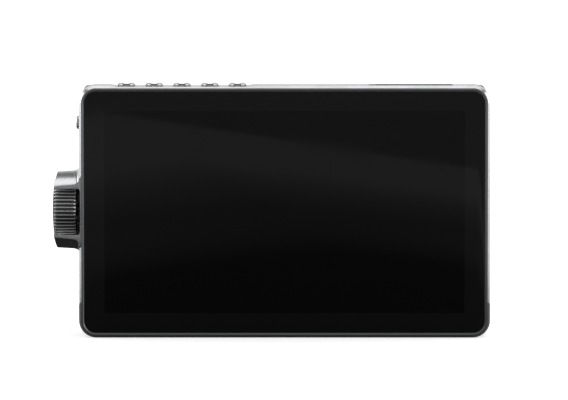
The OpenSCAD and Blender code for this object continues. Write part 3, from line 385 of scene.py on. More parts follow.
# Black cover glass: ink border round a slightly deeper picture area, a ground edge, faint wiping marks
def coverGlass(name, look):
    material, tree, shader = newMaterial(name)
    axes = splitAxes(tree, "Object")
    middle = boxMiddle("lcd_cell")
    half = boxSize("lcd_cell") / 2

    def past(axis, at, reach):
        return calc(tree, "SUBTRACT", calc(tree, "ABSOLUTE", calc(tree, "SUBTRACT", axes[axis], at)), reach)

    outside = calc(tree, "MAXIMUM", past("X", middle.x, half.x - look["cellBorder"]),
                   past("Z", middle.z, half.z - look["cellBorder"]))
    ink = remap(tree, outside, -look["inkFade"], look["inkFade"], 0.0, 1.0)
    smears = noise(tree, objectCoords(tree, turn=(0, 0.5, 0), scale=(1, 1, 0.25)), 22 * mm, 4.0, 0.6)
    dust = noise(tree, objectCoords(tree), 0.35 * mm, 1.0)
    face = blendColors(tree, ink, look["picture"], look["border"])
    face = blendColors(tree, remap(tree, dust, 0.72, 0.78, 0.0, 0.25), face, look["dust"])
    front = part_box("cover_glass")[0].y
    edge = remap(tree, calc(tree, "SUBTRACT", axes["Y"], front), 0.04 * mm, 0.08 * mm, 0.0, 1.0)
    gloss = remap(tree, smears, 0.35, 0.7, look["rough"], look["rough"] + 0.05)
    fill(tree, shader, Base_Color=blendColors(tree, edge, face, look["ground"]),
         Roughness=calc(tree, "ADD", gloss, calc(tree, "MULTIPLY", edge, 0.3)),
         Metallic=calc(tree, "MULTIPLY", edge, look["groundMetal"]), Specular_IOR_Level=look["specular"])
    return material


# Green solder mask over straight copper traces, with pale pads
def boardLaminate(name, look):
    material, tree, shader = newMaterial(name)
    pitch = look["pitch"]
    bricks = newNode(tree, "ShaderNodeTexBrick", Vector=objectCoords(tree, turn=(math.pi / 2, 0, 0)), Scale=1.0,
                     Brick_Width=pitch * 6, Row_Height=pitch, Mortar_Size=pitch * 0.16,
                     Color1=(*look["mask"], 1), Color2=(*look["shade"], 1), Mortar=(*look["trace"], 1))
    pads = newNode(tree, "ShaderNodeTexVoronoi", Vector=objectCoords(tree), Scale=1 / (pitch * 3.5))
    pad = remap(tree, pads.outputs["Distance"], 0.16, 0.13, 0.0, 1.0)
    fill(tree, shader, Base_Color=blendColors(tree, pad, bricks.outputs["Color"], look["pad"]),
         Metallic=calc(tree, "MULTIPLY", pad, 0.9),
         Roughness=wander(tree, noise(tree, objectCoords(tree), 5 * mm), 0.3, 0.0, 0.12),
         Normal=bump(tree, bricks.outputs["Fac"], 0.02 * mm))
    return material


# Amber film with parallel copper lines under it
def ribbonFilm(name, look):
    material, tree, shader = newMaterial(name)
    axes = splitAxes(tree, "Object")
    wave = calc(tree, "SINE", calc(tree, "MULTIPLY", axes["X"], 2 * math.pi / look["pitch"]))
    line = remap(tree, wave, 0.1, 0.4, 0.0, 1.0)
    fill(tree, shader, Base_Color=blendColors(tree, line, look["film"], look["copper"]),
         Metallic=calc(tree, "MULTIPLY", line, 0.6),
         Roughness=wander(tree, noise(tree, objectCoords(tree), 4 * mm), 0.2, 0.0, 0.12))
    return material


wheelCentre = boxMiddle("wheel_cap")
insertCentre = boxMiddle("tripod_insert")

bodyMetal = {"color": (0.46, 0.465, 0.475), "shade": (0.43, 0.435, 0.445), "worn": (0.62, 0.62, 0.62),
             "wear": 0.35, "speck": 0.10, "rough": 0.24, "metal": 1.0, "grain": 0.12 * mm,
             "depth": 0.006 * mm, "edge": 0.14 * mm}
frameMetal = {"color": (0.28, 0.283, 0.29), "shade": (0.25, 0.253, 0.26), "worn": (0.5, 0.5, 0.5),
              "wear": 0.35, "speck": 0.08, "rough": 0.3, "metal": 1.0, "grain": 0.1 * mm,
              "depth": 0.005 * mm, "edge": 0.08 * mm}
wheelTop = boxSize("wheel_rim").z / 2
# the wheel's dark groove colour below is painted shade at the bottom of its grooves
wheelMetal = {"color": (0.62, 0.625, 0.63), "shade": (0.54, 0.545, 0.55), "worn": (0.66, 0.66, 0.66),
              "wear": 0.4, "rough": 0.26, "line": 0.07 * mm, "depth": 0.006 * mm, "edge": 0.06 * mm,
              "axis": 0, "centre": wheelCentre, "paintedGrooveShade": (0.1, 0.1, 0.104), "grooveShadeTop": wheelTop - 0.15 * mm,
              "grooveShadeDepth": 0.3 * mm, "rimEnd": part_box("wheel_rim")[0].x - wheelCentre.x + 0.9 * mm,
              "rimFade": 0.3 * mm, "face": (0.035, 0.035, 0.037), "faceRadius": wheelTop - 0.5 * mm,
              "faceFade": 0.06 * mm, "faceRough": 0.75}
keyGloss = {"color": (0.35, 0.355, 0.365), "shade": (0.31, 0.312, 0.32), "worn": (0.55, 0.55, 0.55),
            "wear": 0.2, "speck": 0.04, "rough": 0.12, "metal": 1.0, "grain": 0.2 * mm,
            "depth": 0.001 * mm, "edge": 0.1 * mm}
coverPlastic = {"color": (0.045, 0.047, 0.05), "shade": (0.036, 0.038, 0.041), "worn": (0.12, 0.12, 0.12),
                "wear": 0.4, "rough": 0.5, "specular": 0.4, "grain": 0.22 * mm, "depth": 0.03 * mm,
                "edge": 0.25 * mm}
blackPlastic = {"color": (0.018, 0.018, 0.019), "shade": (0.024, 0.024, 0.025), "worn": (0.07, 0.07, 0.07),
                "wear": 0.4, "rough": 0.42, "specular": 0.4, "grain": 0.18 * mm, "depth": 0.02 * mm,
                "edge": 0.15 * mm}
latchPlastic = {"color": (0.11, 0.112, 0.116), "shade": (0.09, 0.092, 0.096), "worn": (0.25, 0.25, 0.25),
                "wear": 0.5, "rough": 0.4, "specular": 0.45, "grain": 0.2 * mm, "depth": 0.02 * mm,
                "edge": 0.2 * mm}
whitePlastic = {"color": (0.78, 0.78, 0.76), "shade": (0.72, 0.72, 0.7), "worn": (0.85, 0.85, 0.84),
                "wear": 0.3, "rough": 0.4, "specular": 0.45, "grain": 0.2 * mm, "depth": 0.01 * mm,
                "edge": 0.08 * mm}
bumperRubber = {"color": (0.1, 0.1, 0.103), "shade": (0.115, 0.115, 0.118), "worn": (0.17, 0.17, 0.17),
                "wear": 0.35, "rough": 0.62, "specular": 0.35, "grain": 0.3 * mm, "depth": 0.04 * mm,
                "edge": 0.3 * mm}
cellGlass = {"color": (0.02, 0.024, 0.028), "shade": (0.026, 0.03, 0.034), "worn": (0.1, 0.11, 0.12),
             "wear": 0.5, "rough": 0.12, "specular": 0.5, "grain": 0.8 * mm, "depth": 0.001 * mm,
             "edge": 0.05 * mm}
brightSteel = {"color": (0.62, 0.62, 0.61), "shade": (0.5, 0.5, 0.49), "worn": (0.75, 0.75, 0.74), "wear": 0.4,
               "rough": 0.24, "line": 0.06 * mm, "depth": 0.006 * mm, "edge": 0.08 * mm, "axis": 2,
               "centre": insertCentre}
blackSteel = {"color": (0.05, 0.05, 0.052), "shade": (0.035, 0.035, 0.037), "worn": (0.35, 0.35, 0.35),
              "wear": 0.45, "speck": 0.1, "rough": 0.32, "metal": 0.9, "grain": 0.08 * mm,
              "depth": 0.004 * mm, "edge": 0.1 * mm}
goldPlate = {"color": (0.78, 0.58, 0.26), "shade": (0.7, 0.5, 0.2), "worn": (0.85, 0.68, 0.38), "wear": 0.3,
             "speck": 0.1, "rough": 0.26, "metal": 1.0, "grain": 0.1 * mm, "depth": 0.003 * mm,
             "edge": 0.05 * mm}
sheetMetal = {"color": (0.5, 0.51, 0.52), "shade": (0.42, 0.43, 0.44), "worn": (0.68, 0.68, 0.68), "wear": 0.4,
              "speck": 0.15, "rough": 0.33, "metal": 1.0, "grain": 0.15 * mm, "depth": 0.006 * mm,
              "edge": 0.1 * mm}
socketMetal = {"color": (0.55, 0.55, 0.54), "shade": (0.47, 0.47, 0.46), "worn": (0.75, 0.75, 0.74),
               "wear": 0.4, "speck": 0.08, "rough": 0.22, "metal": 1.0, "grain": 0.09 * mm,
               "depth": 0.003 * mm, "edge": 0.08 * mm}
screenGlass = {"picture": (0.003, 0.0031, 0.0034), "border": (0.0062, 0.0062, 0.0064),
               "dust": (0.01, 0.01, 0.01), "ground": (0.3, 0.303, 0.31), "groundMetal": 0.55,
               "rough": 0.04, "specular": 0.2, "cellBorder": 1.8 * mm, "inkFade": 0.1 * mm}
greenBoard = {"mask": (0.012, 0.11, 0.045), "shade": (0.01, 0.09, 0.038), "trace": (0.03, 0.2, 0.08),
              "pad": (0.72, 0.66, 0.5), "pitch": 0.5 * mm}
amberFilm = {"film": (0.42, 0.19, 0.03), "copper": (0.62, 0.3, 0.1), "pitch": 0.5 * mm}

finishes = {
    "frame_metal": blastedMetal("frameMetal", frameMetal),
    "body_metal": blastedMetal("bodyMetal", bodyMetal),
    "wheel_metal": turnedMetal("wheelMetal", wheelMetal),
    "key_gloss": blastedMetal("keyGloss", keyGloss),
    "black_steel": blastedMetal("blackSteel", blackSteel),
    "brass": blastedMetal("goldPlate", goldPlate),
    "sheet_metal": blastedMetal("sheetMetal", sheetMetal),
    "socket_metal": blastedMetal("socketMetal", socketMetal),
    "steel": turnedMetal("brightSteel", brightSteel),
    "cover_plastic": mouldedPlastic("coverPlastic", coverPlastic),
    "black_plastic": mouldedPlastic("blackPlastic", blackPlastic),
    "latch_plastic": mouldedPlastic("latchPlastic", latchPlastic),
    "white_plastic": mouldedPlastic("whitePlastic", whitePlastic),
    "rubber": mouldedPlastic("bumperRubber", bumperRubber),
    "cell_glass": mouldedPlastic("cellGlass", cellGlass),
    "screen_glass": coverGlass("screenGlass", screenGlass),
    "board_laminate": boardLaminate("greenBoard", greenBoard),
    "ribbon_film": ribbonFilm("amberFilm", amberFilm),
}
slotOf = {}
for part in frame["record"]["subparts"]:
    slotOf[part["node"]] = part["material_slot"]
    cadPiece = nodes[part["node"]]
    cadPiece.data.materials.clear()
    cadPiece.data.materials.append(finishes[part["material_slot"]])

print("stage: mesh helpers")


# Joins a piece to its body, and hides the CAD nodes that it stands for
def settle(piece, body, slotName, *replaced):
    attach(piece, body)
    if replaced:
        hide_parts(*replaced)


def addPiece(name, mesh, body, slotName, *replaced):
    mesh.materials.append(finishes[slotName])
    settle(newObject(name, mesh), body, slotName, *replaced)


# Smooth but for edges sharper than the angle
def shadeMesh(mesh, sharp):
    mesh.shade_smooth()
    mesh.set_sharp_from_angle(angle=math.radians(sharp))


def alignFaces(shape):
    bmesh.ops.recalc_face_normals(shape, faces=shape.faces)


# Turns what the modifiers make into the piece's own mesh
def plainMesh(piece):
    depsgraph = bpy.context.evaluated_depsgraph_get()
    mesh = bpy.data.meshes.new_from_object(piece.evaluated_get(depsgraph))
    old = piece.data
    piece.modifiers.clear()
    piece.data = mesh
    bpy.data.meshes.remove(old)


def meshFrom(shape, name):
    mesh = bpy.data.meshes.new(name)
    shape.to_mesh(mesh)
    shape.free()
    return mesh


# Ends a mesh: welded, faces outwards, smooth
def finishMesh(shape, name, sharp=40):
    bmesh.ops.remove_doubles(shape, verts=shape.verts, dist=0.0005 * mm)
    alignFaces(shape)
    mesh = meshFrom(shape, name)
    shadeMesh(mesh, sharp)
    return mesh


def bridge(shape, first, second):
    count = max(len(first), len(second))
    for i in range(count):
        corners = [first[i % len(first)], first[(i + 1) % len(first)],
                   second[(i + 1) % len(second)], second[i % len(second)]]
        unique = list(dict.fromkeys(corners))
        if len(unique) > 2:
            shape.faces.new(unique)


# Closed rings of points joined in order. Open ends are filled unless the last ring meets the first.
def loftMesh(name, rings, endless=False, sharp=40):
    shape = bmesh.new()
    made = [[shape.verts.new(p) for p in ring] for ring in rings]
    for first, second in zip(made, made[1:]):
        bridge(shape, first, second)
    if endless:
        bridge(shape, made[-1], made[0])
    else:
        for ring in (made[0], made[-1]):
            if len(ring) > 2:
                shape.faces.new(ring)
    return finishMesh(shape, name, sharp)


# A section of (radius, height) pairs turned about an axis through a centre: 0 is X, 1 is Y, 2 is Z.
# A radius may be a function of the angle.
def turnedRings(section, axis, centre, steps):
    rings = []
    for radius, height in section:
        ring = []
        for i in range(steps if callable(radius) or radius > 0 else 1):
            a = 2 * math.pi * i / steps
            reach = radius(a) if callable(radius) else radius
            point = [0.0, 0.0, 0.0]
            point[axis] = height
            point[(axis + 1) % 3] = centre[(axis + 1) % 3] + reach * math.cos(a)
            point[(axis + 2) % 3] = centre[(axis + 2) % 3] + reach * math.sin(a)
            ring.append(Vector(point))
        rings.append(ring)
    return rings


# Points of a section round a quarter circle
def quarterArc(x, y, radius, first, steps):
    turns = [math.radians(first + 90 * k / steps) for k in range(steps + 1)]
    return [(x + radius * math.cos(a), y + radius * math.sin(a)) for a in turns]


# A rounded rectangle round the display at depth y, grown outwards by an offset
def displayRing(half, radius, offset, y, centre, steps=10):
    ring = []
    r = max(radius + offset, 0.02 * mm)
    for quarter, (sx, sz) in enumerate(((1, 1), (-1, 1), (-1, -1), (1, -1))):
        cx = centre.x + sx * (half.x + offset - r)
        cz = centre.z + sz * (half.z + offset - r)
        for i in range(steps + 1):
            a = math.pi / 2 * (quarter + i / steps)
            ring.append(Vector((cx + r * math.cos(a), y, cz + r * math.sin(a))))
    return ring


# Copy of a CAD node's mesh, welded and with its flat faces joined, so that a bevel can round its edges
def roundedCopy(name, node, body, width, segments=2, sharp=35):
    shape = bmesh.new()
    shape.from_mesh(nodes[node].data)
    bmesh.ops.remove_doubles(shape, verts=shape.verts, dist=0.002 * mm)
    bmesh.ops.dissolve_limit(shape, angle_limit=math.radians(0.6), verts=shape.verts, edges=shape.edges)
    piece = newObject(name, meshFrom(shape, name))
    bevel = piece.modifiers.new("roundEdges", "BEVEL")
    bevel.width = width
    bevel.segments = segments
    bevel.limit_method = "ANGLE"
    bevel.angle_limit = math.radians(sharp)
    bevel.use_clamp_overlap = True
    plainMesh(piece)
    shadeMesh(piece.data, 50)
    piece.data.materials.append(finishes[slotOf[node]])
    settle(piece, body, slotOf[node], node)


def startTree(name, inputs):
    tree = bpy.data.node_groups.new(name, "GeometryNodeTree")
    tree.is_modifier = True
    tree.interface.new_socket("Geometry", in_out="INPUT", socket_type="NodeSocketGeometry")
    ids = {}
    for label, kind in inputs:
        ids[label] = tree.interface.new_socket(label, in_out="INPUT", socket_type=kind).identifier
    tree.interface.new_socket("Geometry", in_out="OUTPUT", socket_type="NodeSocketGeometry")
    return tree, ids, tree.nodes.new("NodeGroupInput").outputs, tree.nodes.new("NodeGroupOutput")


def endTree(tree, made, material, weld, out):
    realize = newNode(tree, "GeometryNodeRealizeInstances", Geometry=made)
    joined = newNode(tree, "GeometryNodeMergeByDistance", Geometry=realize.outputs[0], Distance=weld)
    paint = newNode(tree, "GeometryNodeSetMaterial", Geometry=joined.outputs[0], Material=material)
    tree.links.new(paint.outputs[0], out.inputs[0])


# Copies of one shape set round the X, Y or Z axis of a centre, by equal turns
def makeRoundTree():
    tree, ids, source, out = startTree("roundArray", (
        ("Copies", "NodeSocketInt"), ("Turn", "NodeSocketVector"), ("First turn", "NodeSocketVector"),
        ("Centre", "NodeSocketVector"), ("Finish", "NodeSocketMaterial")))
    points = newNode(tree, "GeometryNodeMeshLine", Count=source["Copies"], Offset=(0, 0, 0))
    index = tree.nodes.new("GeometryNodeInputIndex").outputs[0]
    turned = vectorCalc(tree, "SCALE", source["Turn"], index)
    copies = newNode(tree, "GeometryNodeInstanceOnPoints", Points=points.outputs[0], Instance=source["Geometry"],
                     Rotation=vectorCalc(tree, "ADD", turned, source["First turn"]))
    moved = newNode(tree, "GeometryNodeTransform", Geometry=copies.outputs[0], Translation=source["Centre"])
    endTree(tree, moved.outputs[0], source["Finish"], 0.0008 * mm, out)
    return tree, ids


# Copies of one shape in rows across a grid that starts at a corner
def makeGridTree():
    tree, ids, source, out = startTree("gridArray", (
        ("Across", "NodeSocketInt"), ("Up", "NodeSocketInt"), ("Step across", "NodeSocketVector"),
        ("Step up", "NodeSocketVector"), ("Corner", "NodeSocketVector"), ("Finish", "NodeSocketMaterial")))
    total = calc(tree, "MULTIPLY", source["Across"], source["Up"])
    points = newNode(tree, "GeometryNodeMeshLine", Count=total, Offset=(0, 0, 0))
    index = tree.nodes.new("GeometryNodeInputIndex").outputs[0]
    row = calc(tree, "FLOOR", calc(tree, "DIVIDE", index, source["Across"]))
    column = calc(tree, "SUBTRACT", index, calc(tree, "MULTIPLY", row, source["Across"]))
    place = source["Corner"]
    for step, count in ((source["Step across"], column), (source["Step up"], row)):
        place = vectorCalc(tree, "ADD", place, vectorCalc(tree, "SCALE", step, count))
    spread = newNode(tree, "GeometryNodeSetPosition", Geometry=points.outputs[0], Position=place)
    copies = newNode(tree, "GeometryNodeInstanceOnPoints", Points=spread.outputs[0], Instance=source["Geometry"])
    endTree(tree, copies.outputs[0], source["Finish"], 0.0002 * mm, out)
    return tree, ids


# Turns a closed mesh right side out
def outwards(piece):
    shape = bmesh.new()
    shape.from_mesh(piece.data)
    alignFaces(shape)
    shape.to_mesh(piece.data)
    shape.free()


roundArray = makeRoundTree()
gridArray = makeGridTree()


# Runs one of the trees on a mesh, with its inputs by name, and keeps the result as a plain mesh
def arrayed(name, mesh, array, body, slotName, replaced=(), sharp=40, **values):
    tree, ids = array
    piece = newObject(name, mesh)
    modifier = piece.modifiers.new(tree.name, "NODES")
    modifier.node_group = tree
    values["Finish"] = finishes[slotName]
    for label, value in values.items():
        modifier[ids[label.replace("_", " ")]] = value
    plainMesh(piece)
    shadeMesh(piece.data, sharp)
    settle(piece, body, slotName, *replaced)
    return piece


print("stage: display")

glass = {
    "radius": 4.1 * mm,
    "edge": 0.13 * mm,         # ground edge, slightly rounded
    "edgeRound": 0.05 * mm,
}


def makeCoverGlass():
    lo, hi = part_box("cover_glass")
    half = (hi - lo) / 2
    centre = (lo + hi) / 2
    edge, soft = glass["edge"], glass["edgeRound"]
    section = [(-0.05 * mm, hi.y), (0, hi.y - 0.05 * mm), (0, lo.y + edge + soft),
               (-soft * 0.3, lo.y + edge), (-edge * 0.5, lo.y + edge * 0.45), (-edge, lo.y + soft * 0.3),
               (-edge - soft, lo.y)]
    rings = [displayRing(half, glass["radius"], offset, y, centre, 12) for offset, y in section]
    addPiece("coverGlass", loftMesh("coverGlass", rings, sharp=20), "housing", "screen_glass", "cover_glass")


makeCoverGlass()

frontFrame = {
    "gap": 0.03 * mm,          # between glass and frame
    "outer": 0.9 * mm,         # the frame's outer edge, measured from the glass edge
    "tongue": 0.45 * mm,       # rim behind the face that drops into the middle frame
    "ledge": -2.2 * mm,        # how far the ledge runs in behind the glass
    "innerChamfer": (0.3 * mm, 0.14 * mm),
    "outerRound": 0.08 * mm,
}


def makeFrontFrame():
    lo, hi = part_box("front_frame")
    glassLo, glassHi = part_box("cover_glass")
    faceBack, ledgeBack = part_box("mid_frame")[0].y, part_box("glass_gasket")[1].y
    f = frontFrame
    wide, deep = f["innerChamfer"]
    section = [(f["gap"], lo.y + deep), (f["gap"] + wide * 0.5, lo.y + deep * 0.46), (f["gap"] + wide, lo.y)]
    section += quarterArc(f["outer"] - f["outerRound"], lo.y + f["outerRound"], f["outerRound"], -90, 4)
    section += [(f["outer"], faceBack), (f["tongue"], faceBack), (f["tongue"], hi.y),
                (f["ledge"], hi.y), (f["ledge"], ledgeBack), (f["gap"], ledgeBack)]
    half = (glassHi - glassLo) / 2
    centre = (glassLo + glassHi) / 2
    rings = [displayRing(half, glass["radius"], offset, y, centre, 12) for offset, y in section]
    mesh = loftMesh("frontFrame", rings, endless=True, sharp=30)
    addPiece("frontFrame", mesh, "housing", "frame_metal", "front_frame")


makeFrontFrame()

print("stage: keys")

keyShape = {
    "flange": 0.6 * mm,        # how far the flange stands past the key's ends
    "flangeHeight": 0.7 * mm,
    "flangeHalf": 1.9 * mm,    # half of its depth
    "corner": 1.1 * mm,
    "sink": 1.15 * mm,         # from the top of the key's box to the floor of the hollow
    "rise": 1.0 * mm,          # humps over the floor
    "dip": 0.36 * mm,          # the finger scoop between the humps
    "scoopHalf": 0.6 * mm,
    "humpAt": 1.75 * mm,
    "endFrom": 1.5 * mm,       # where the round fall to the ends begins
    "crestBack": 1.5 * mm,     # from the crest to the back edge
    "crest": 0.5 * mm,         # roundness of the crest
    "humpSlope": 1.1,
    "scoopSlope": 0.36,
    "apron": 0.06 * mm,        # the low part in front
    "apronBlend": 0.06 * mm,
    "columns": 44,
    "rows": 30,
}


def easeIn(t):
    t = min(max(t, 0.0), 1.0)
    return t * t * (3 - 2 * t)


# Height of the key's top over the floor of the hollow: a crest with two humps, and a low apron in front
def keyHeight(x, y, halfX, halfY):
    k = keyShape
    hump = easeIn((abs(x) - k["scoopHalf"]) / (k["humpAt"] - k["scoopHalf"]))
    height = k["rise"] - k["dip"] * (1 - hump)
    forward = halfY - k["crestBack"] - y
    slope = k["scoopSlope"] + (k["humpSlope"] - k["scoopSlope"]) * hump
    if forward > 0:
        drop = slope * k["crest"] * (math.sqrt(1 + (forward / k["crest"]) ** 2) - 1)
    else:
        drop = height * (forward / k["crestBack"]) ** 2
    outer = min(max(abs(x) - k["endFrom"], 0) / (halfX - k["endFrom"]), 1)
    raised = (height - drop) * math.sqrt(1 - outer * outer) - k["apron"]
    return k["apron"] + (raised + math.sqrt(raised * raised + k["apronBlend"] ** 2)) / 2


# A grid of points under a rounded rectangle, its edge loop, the wall below it and the flange
def makeKey(number):
    node = f"key_{number}"
    lo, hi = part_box(node)
    centre = (lo + hi) / 2
    halfX = (hi.x - lo.x) / 2 - keyShape["flange"]
    halfY = (hi.y - lo.y) / 2
    floorZ = hi.z - keyShape["sink"]
    columns, rows, corner = keyShape["columns"], keyShape["rows"], keyShape["corner"]
    shape = bmesh.new()
    grid = []
    for i in range(columns + 1):
        x = halfX * math.sin(math.pi / 2 * (2 * i / columns - 1))
        past = max(abs(x) - (halfX - corner), 0)
        edgeY = halfY - corner + math.sqrt(max(corner * corner - past * past, 0))
        line = []
        for j in range(rows + 1):
            y = edgeY * (2 * j / rows - 1)
            z = floorZ + keyHeight(x, y, halfX, halfY)
            line.append(shape.verts.new((centre.x + x, centre.y + y, z)))
        grid.append(line)
    for first, second in zip(grid, grid[1:]):
        for j in range(rows):
            shape.faces.new((first[j], second[j], second[j + 1], first[j + 1]))
    loop = [line[0] for line in grid] + grid[-1][1:] + [line[-1] for line in grid[-2::-1]] + grid[0][-2:0:-1]
    wide = (halfX + keyShape["flange"]) / halfX
    deep = min(halfY, keyShape["flangeHalf"]) / halfY
    shoulder = lo.z + keyShape["flangeHeight"]
    last = loop
    for z, kx, ky in ((shoulder, 1, 1), (shoulder, wide, deep), (lo.z, wide, deep)):
        ring = [shape.verts.new((centre.x + (v.co.x - centre.x) * kx, centre.y + (v.co.y - centre.y) * ky, z))
                for v in loop]
        bridge(shape, last, ring)
        last = ring
    shape.faces.new(last)
    mesh = finishMesh(shape, f"fingerKey{number}", 60)
    addPiece(f"fingerKey{number}", mesh, node, "key_gloss", node)


for number in range(1, 6):
    makeKey(number)

powerShape = {
    "round": 0.9 * mm,
    "dish": 0.18 * mm,
    "dishShare": 0.78,         # of the key's radius
    "foot": 0.5 * mm,
    "footHeight": 0.6 * mm,
}


def makePowerKey():
    lo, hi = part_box("power_key")
    centre = (lo + hi) / 2
    r = (hi.z - lo.z) / 2 - powerShape["foot"]
    soft = powerShape["round"]
    section = [(0, lo.x + powerShape["dish"])]
    for k in range(1, 6):
        share = k / 6
        section.append((r * powerShape["dishShare"] * share, lo.x + powerShape["dish"] * (1 - share * share)))
    section += quarterArc(r - soft, lo.x + soft, soft, -90, 6)
    footX = hi.x - powerShape["footHeight"]
    section += [(r, footX), (r + powerShape["foot"], footX), (r + powerShape["foot"], hi.x), (0, hi.x)]
    mesh = loftMesh("powerKeyCap", turnedRings(section, 0, centre, 40), sharp=50)
    addPiece("powerKeyCap", mesh, "power_key", "key_gloss", "power_key")


makePowerKey()

print("stage: wheel and guard")

wheel = {
    "ridges": 50,
    "firstTurn": 5.6,
    "groove": 0.5 * mm,
    "innerChamfer": 0.6 * mm,  # steep at the end face, then a long shallow fall on the ridges
    "innerSteep": 0.15 * mm,
    "innerShallow": 0.75 * mm,
    "outerChamfer": 0.4 * mm,
    "domeRadius": 76 * mm,
    "fade": 7.7 * mm,          # radius where the grooves run out on the domed end
    "shaftHole": 2.02 * mm,
    "hub": 4.2 * mm,
    "hollow": 2.2 * mm,
    "wall": 2.0 * mm,
    "capChamfer": 0.14 * mm,
}
# one ridge: how far round the pitch each edge stands, and its share of the groove's depth
ridgeForm = ((-0.5, 1.0), (-0.36, 0.98), (-0.27, 0.62), (-0.19, 0.16), (-0.12, 0.02), (0.0, 0.0),
             (0.12, 0.02), (0.19, 0.16), (0.27, 0.62), (0.36, 0.98), (0.5, 1.0))


# Half of the wheel's section, with this share of the groove's depth taken off
def wheelOutline(share):
    lo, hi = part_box("wheel_rim")
    capLo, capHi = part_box("wheel_cap")
    full = (hi.z - lo.z) / 2
    depth = share * wheel["groove"]
    r = full - depth
    capR = (capHi.z - capLo.z) / 2 + 0.02 * mm
    dome = wheel["domeRadius"]
    fade = wheel["fade"]

    def domeX(radius):
        return capLo.x + dome - math.sqrt(dome * dome - radius * radius)

    grooveEnd = domeX(full) + wheel["groove"]
    slope = (grooveEnd - domeX(fade)) / (full - wheel["groove"] - fade)

    def endX(radius):
        low = domeX(fade) + slope * (radius - fade)
        return domeX(radius) + (low - domeX(radius)) * share * (radius > fade)

    wide = wheel["innerChamfer"]

    def innerX(radius):
        below = (full - radius) / wide
        steep = wheel["innerSteep"] * min(2 - 2 * below, 1)
        return hi.x - steep - wheel["innerShallow"] * max(1 - 2 * below, 0)

    outer = max(wheel["outerChamfer"] - depth, 0.06 * mm)
    within = full - wheel["wall"]
    bend = (full - wide + r) / 2
    points = [(wheel["shaftHole"], hi.x), (wheel["hub"], hi.x), (wheel["hub"], hi.x - wheel["hollow"]),
              (within, hi.x - wheel["hollow"]), (within, hi.x), (full - wide, hi.x), (bend, innerX(bend)),
              (r, innerX(r)), (r, endX(r) + outer), (r - outer, endX(r - outer))]
    for k in (0.75, 0.5, 0.25, 0.0):
        radius = fade + (r - outer - fade) * k
        points.append((radius, endX(radius)))
    points += [(capR, domeX(capR)), (capR, capHi.x), (wheel["shaftHole"], capHi.x)]
    return points


def makeWheelRim():
    shape = bmesh.new()
    pitch = 2 * math.pi / wheel["ridges"]
    strips = []
    for turn, share in ridgeForm:
        a = turn * pitch
        outline = wheelOutline(share)
        strips.append([shape.verts.new((x, r * math.cos(a), r * math.sin(a))) for r, x in outline])
    for first, second in zip(strips, strips[1:]):
        for i in range(len(first)):
            j = (i + 1) % len(first)
            shape.faces.new((first[i], first[j], second[j], second[i]))
    alignFaces(shape)
    centre = boxMiddle("wheel_rim")
    ridge = meshFrom(shape, "wheelRidge")
    piece = arrayed("knurledWheel", ridge, roundArray, "wheel", "wheel_metal", ("wheel_rim",), 35,
                    Copies=wheel["ridges"], Turn=(pitch, 0.0, 0.0),
                    First_turn=(math.radians(wheel["firstTurn"]), 0.0, 0.0),
                    Centre=(0.0, centre.y, centre.z))
    outwards(piece)


def makeWheelCap():
    lo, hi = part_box("wheel_cap")
    r = (hi.z - lo.z) / 2
    dome = wheel["domeRadius"]
    c = wheel["capChamfer"]
    section = []
    for k in range(13):
        radius = (r - c) * k / 12
        section.append((radius, lo.x + dome - math.sqrt(dome * dome - radius * radius)))
    section += [(r, section[-1][1] + c), (r, hi.x - 0.05 * mm), (r - 0.05 * mm, hi.x), (0, hi.x)]
    mesh = loftMesh("wheelEndCap", turnedRings(section, 0, wheelCentre, 72), sharp=25)
    addPiece("wheelEndCap", mesh, "wheel", "wheel_metal", "wheel_cap")


roundings = {"wheelGuard": 0.28 * mm, "cardDoor": 0.1 * mm, "latch": 0.2 * mm}

makeWheelRim()
makeWheelCap()
roundedCopy("wheelShroud", "wheel_guard", "housing", roundings["wheelGuard"], 3)

print("stage: door, back and sockets")

roundedCopy("cardDoorLid", "card_door", "card_door", roundings["cardDoor"])

rearScrew = {
    "head": 2.1 * mm,
    "headHeight": 1.6 * mm,
    "shank": 1.0 * mm,
    "socket": 0.92 * mm,       # half of the hexagon across its flats
    "socketDepth": 0.85 * mm,
    "edge": 0.3 * mm,
}


def makeRearScrews():
    lo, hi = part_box("rear_screws")
    b = rearScrew
    under = hi.y - b["headHeight"]

    def hexagon(flat):
        return lambda a: flat / math.cos((a + 1e-9) % (math.pi / 3) - math.pi / 6)

    section = [(0, lo.y), (b["shank"] * 0.7, lo.y), (b["shank"], lo.y + 0.3 * mm), (b["shank"], under),
               (b["head"] - 0.1 * mm, under), (b["head"], under + 0.1 * mm)]
    section += quarterArc(b["head"] - b["edge"], hi.y - b["edge"], b["edge"], 0, 3)
    section += [(hexagon(b["socket"] + 0.14 * mm), hi.y), (hexagon(b["socket"]), hi.y - 0.12 * mm),
                (hexagon(b["socket"]), hi.y - b["socketDepth"]), (0, hi.y - b["socketDepth"] - 0.3 * mm)]
    mesh = loftMesh("rearScrew", turnedRings(section, 1, (0, 0, 0), 36), sharp=35)
    head = b["head"]
    arrayed("rearScrews", mesh, gridArray, "housing", "black_steel", ("rear_screws",), 35, Across=2, Up=2,
            Step_across=(hi.x - lo.x - 2 * head, 0.0, 0.0), Step_up=(0.0, 0.0, hi.z - lo.z - 2 * head),
            Corner=(lo.x + head, 0.0, lo.z + head))


makeRearScrews()

insert = {
    "body": 4.4 * mm,
    "rimHeight": 1.1 * mm,
    "bore": 2.6 * mm,
    "boreDepth": 6.5 * mm,
    "pitch": 1.27 * mm,
    "threadDepth": 0.5 * mm,
    "rowsPerTurn": 10,
}


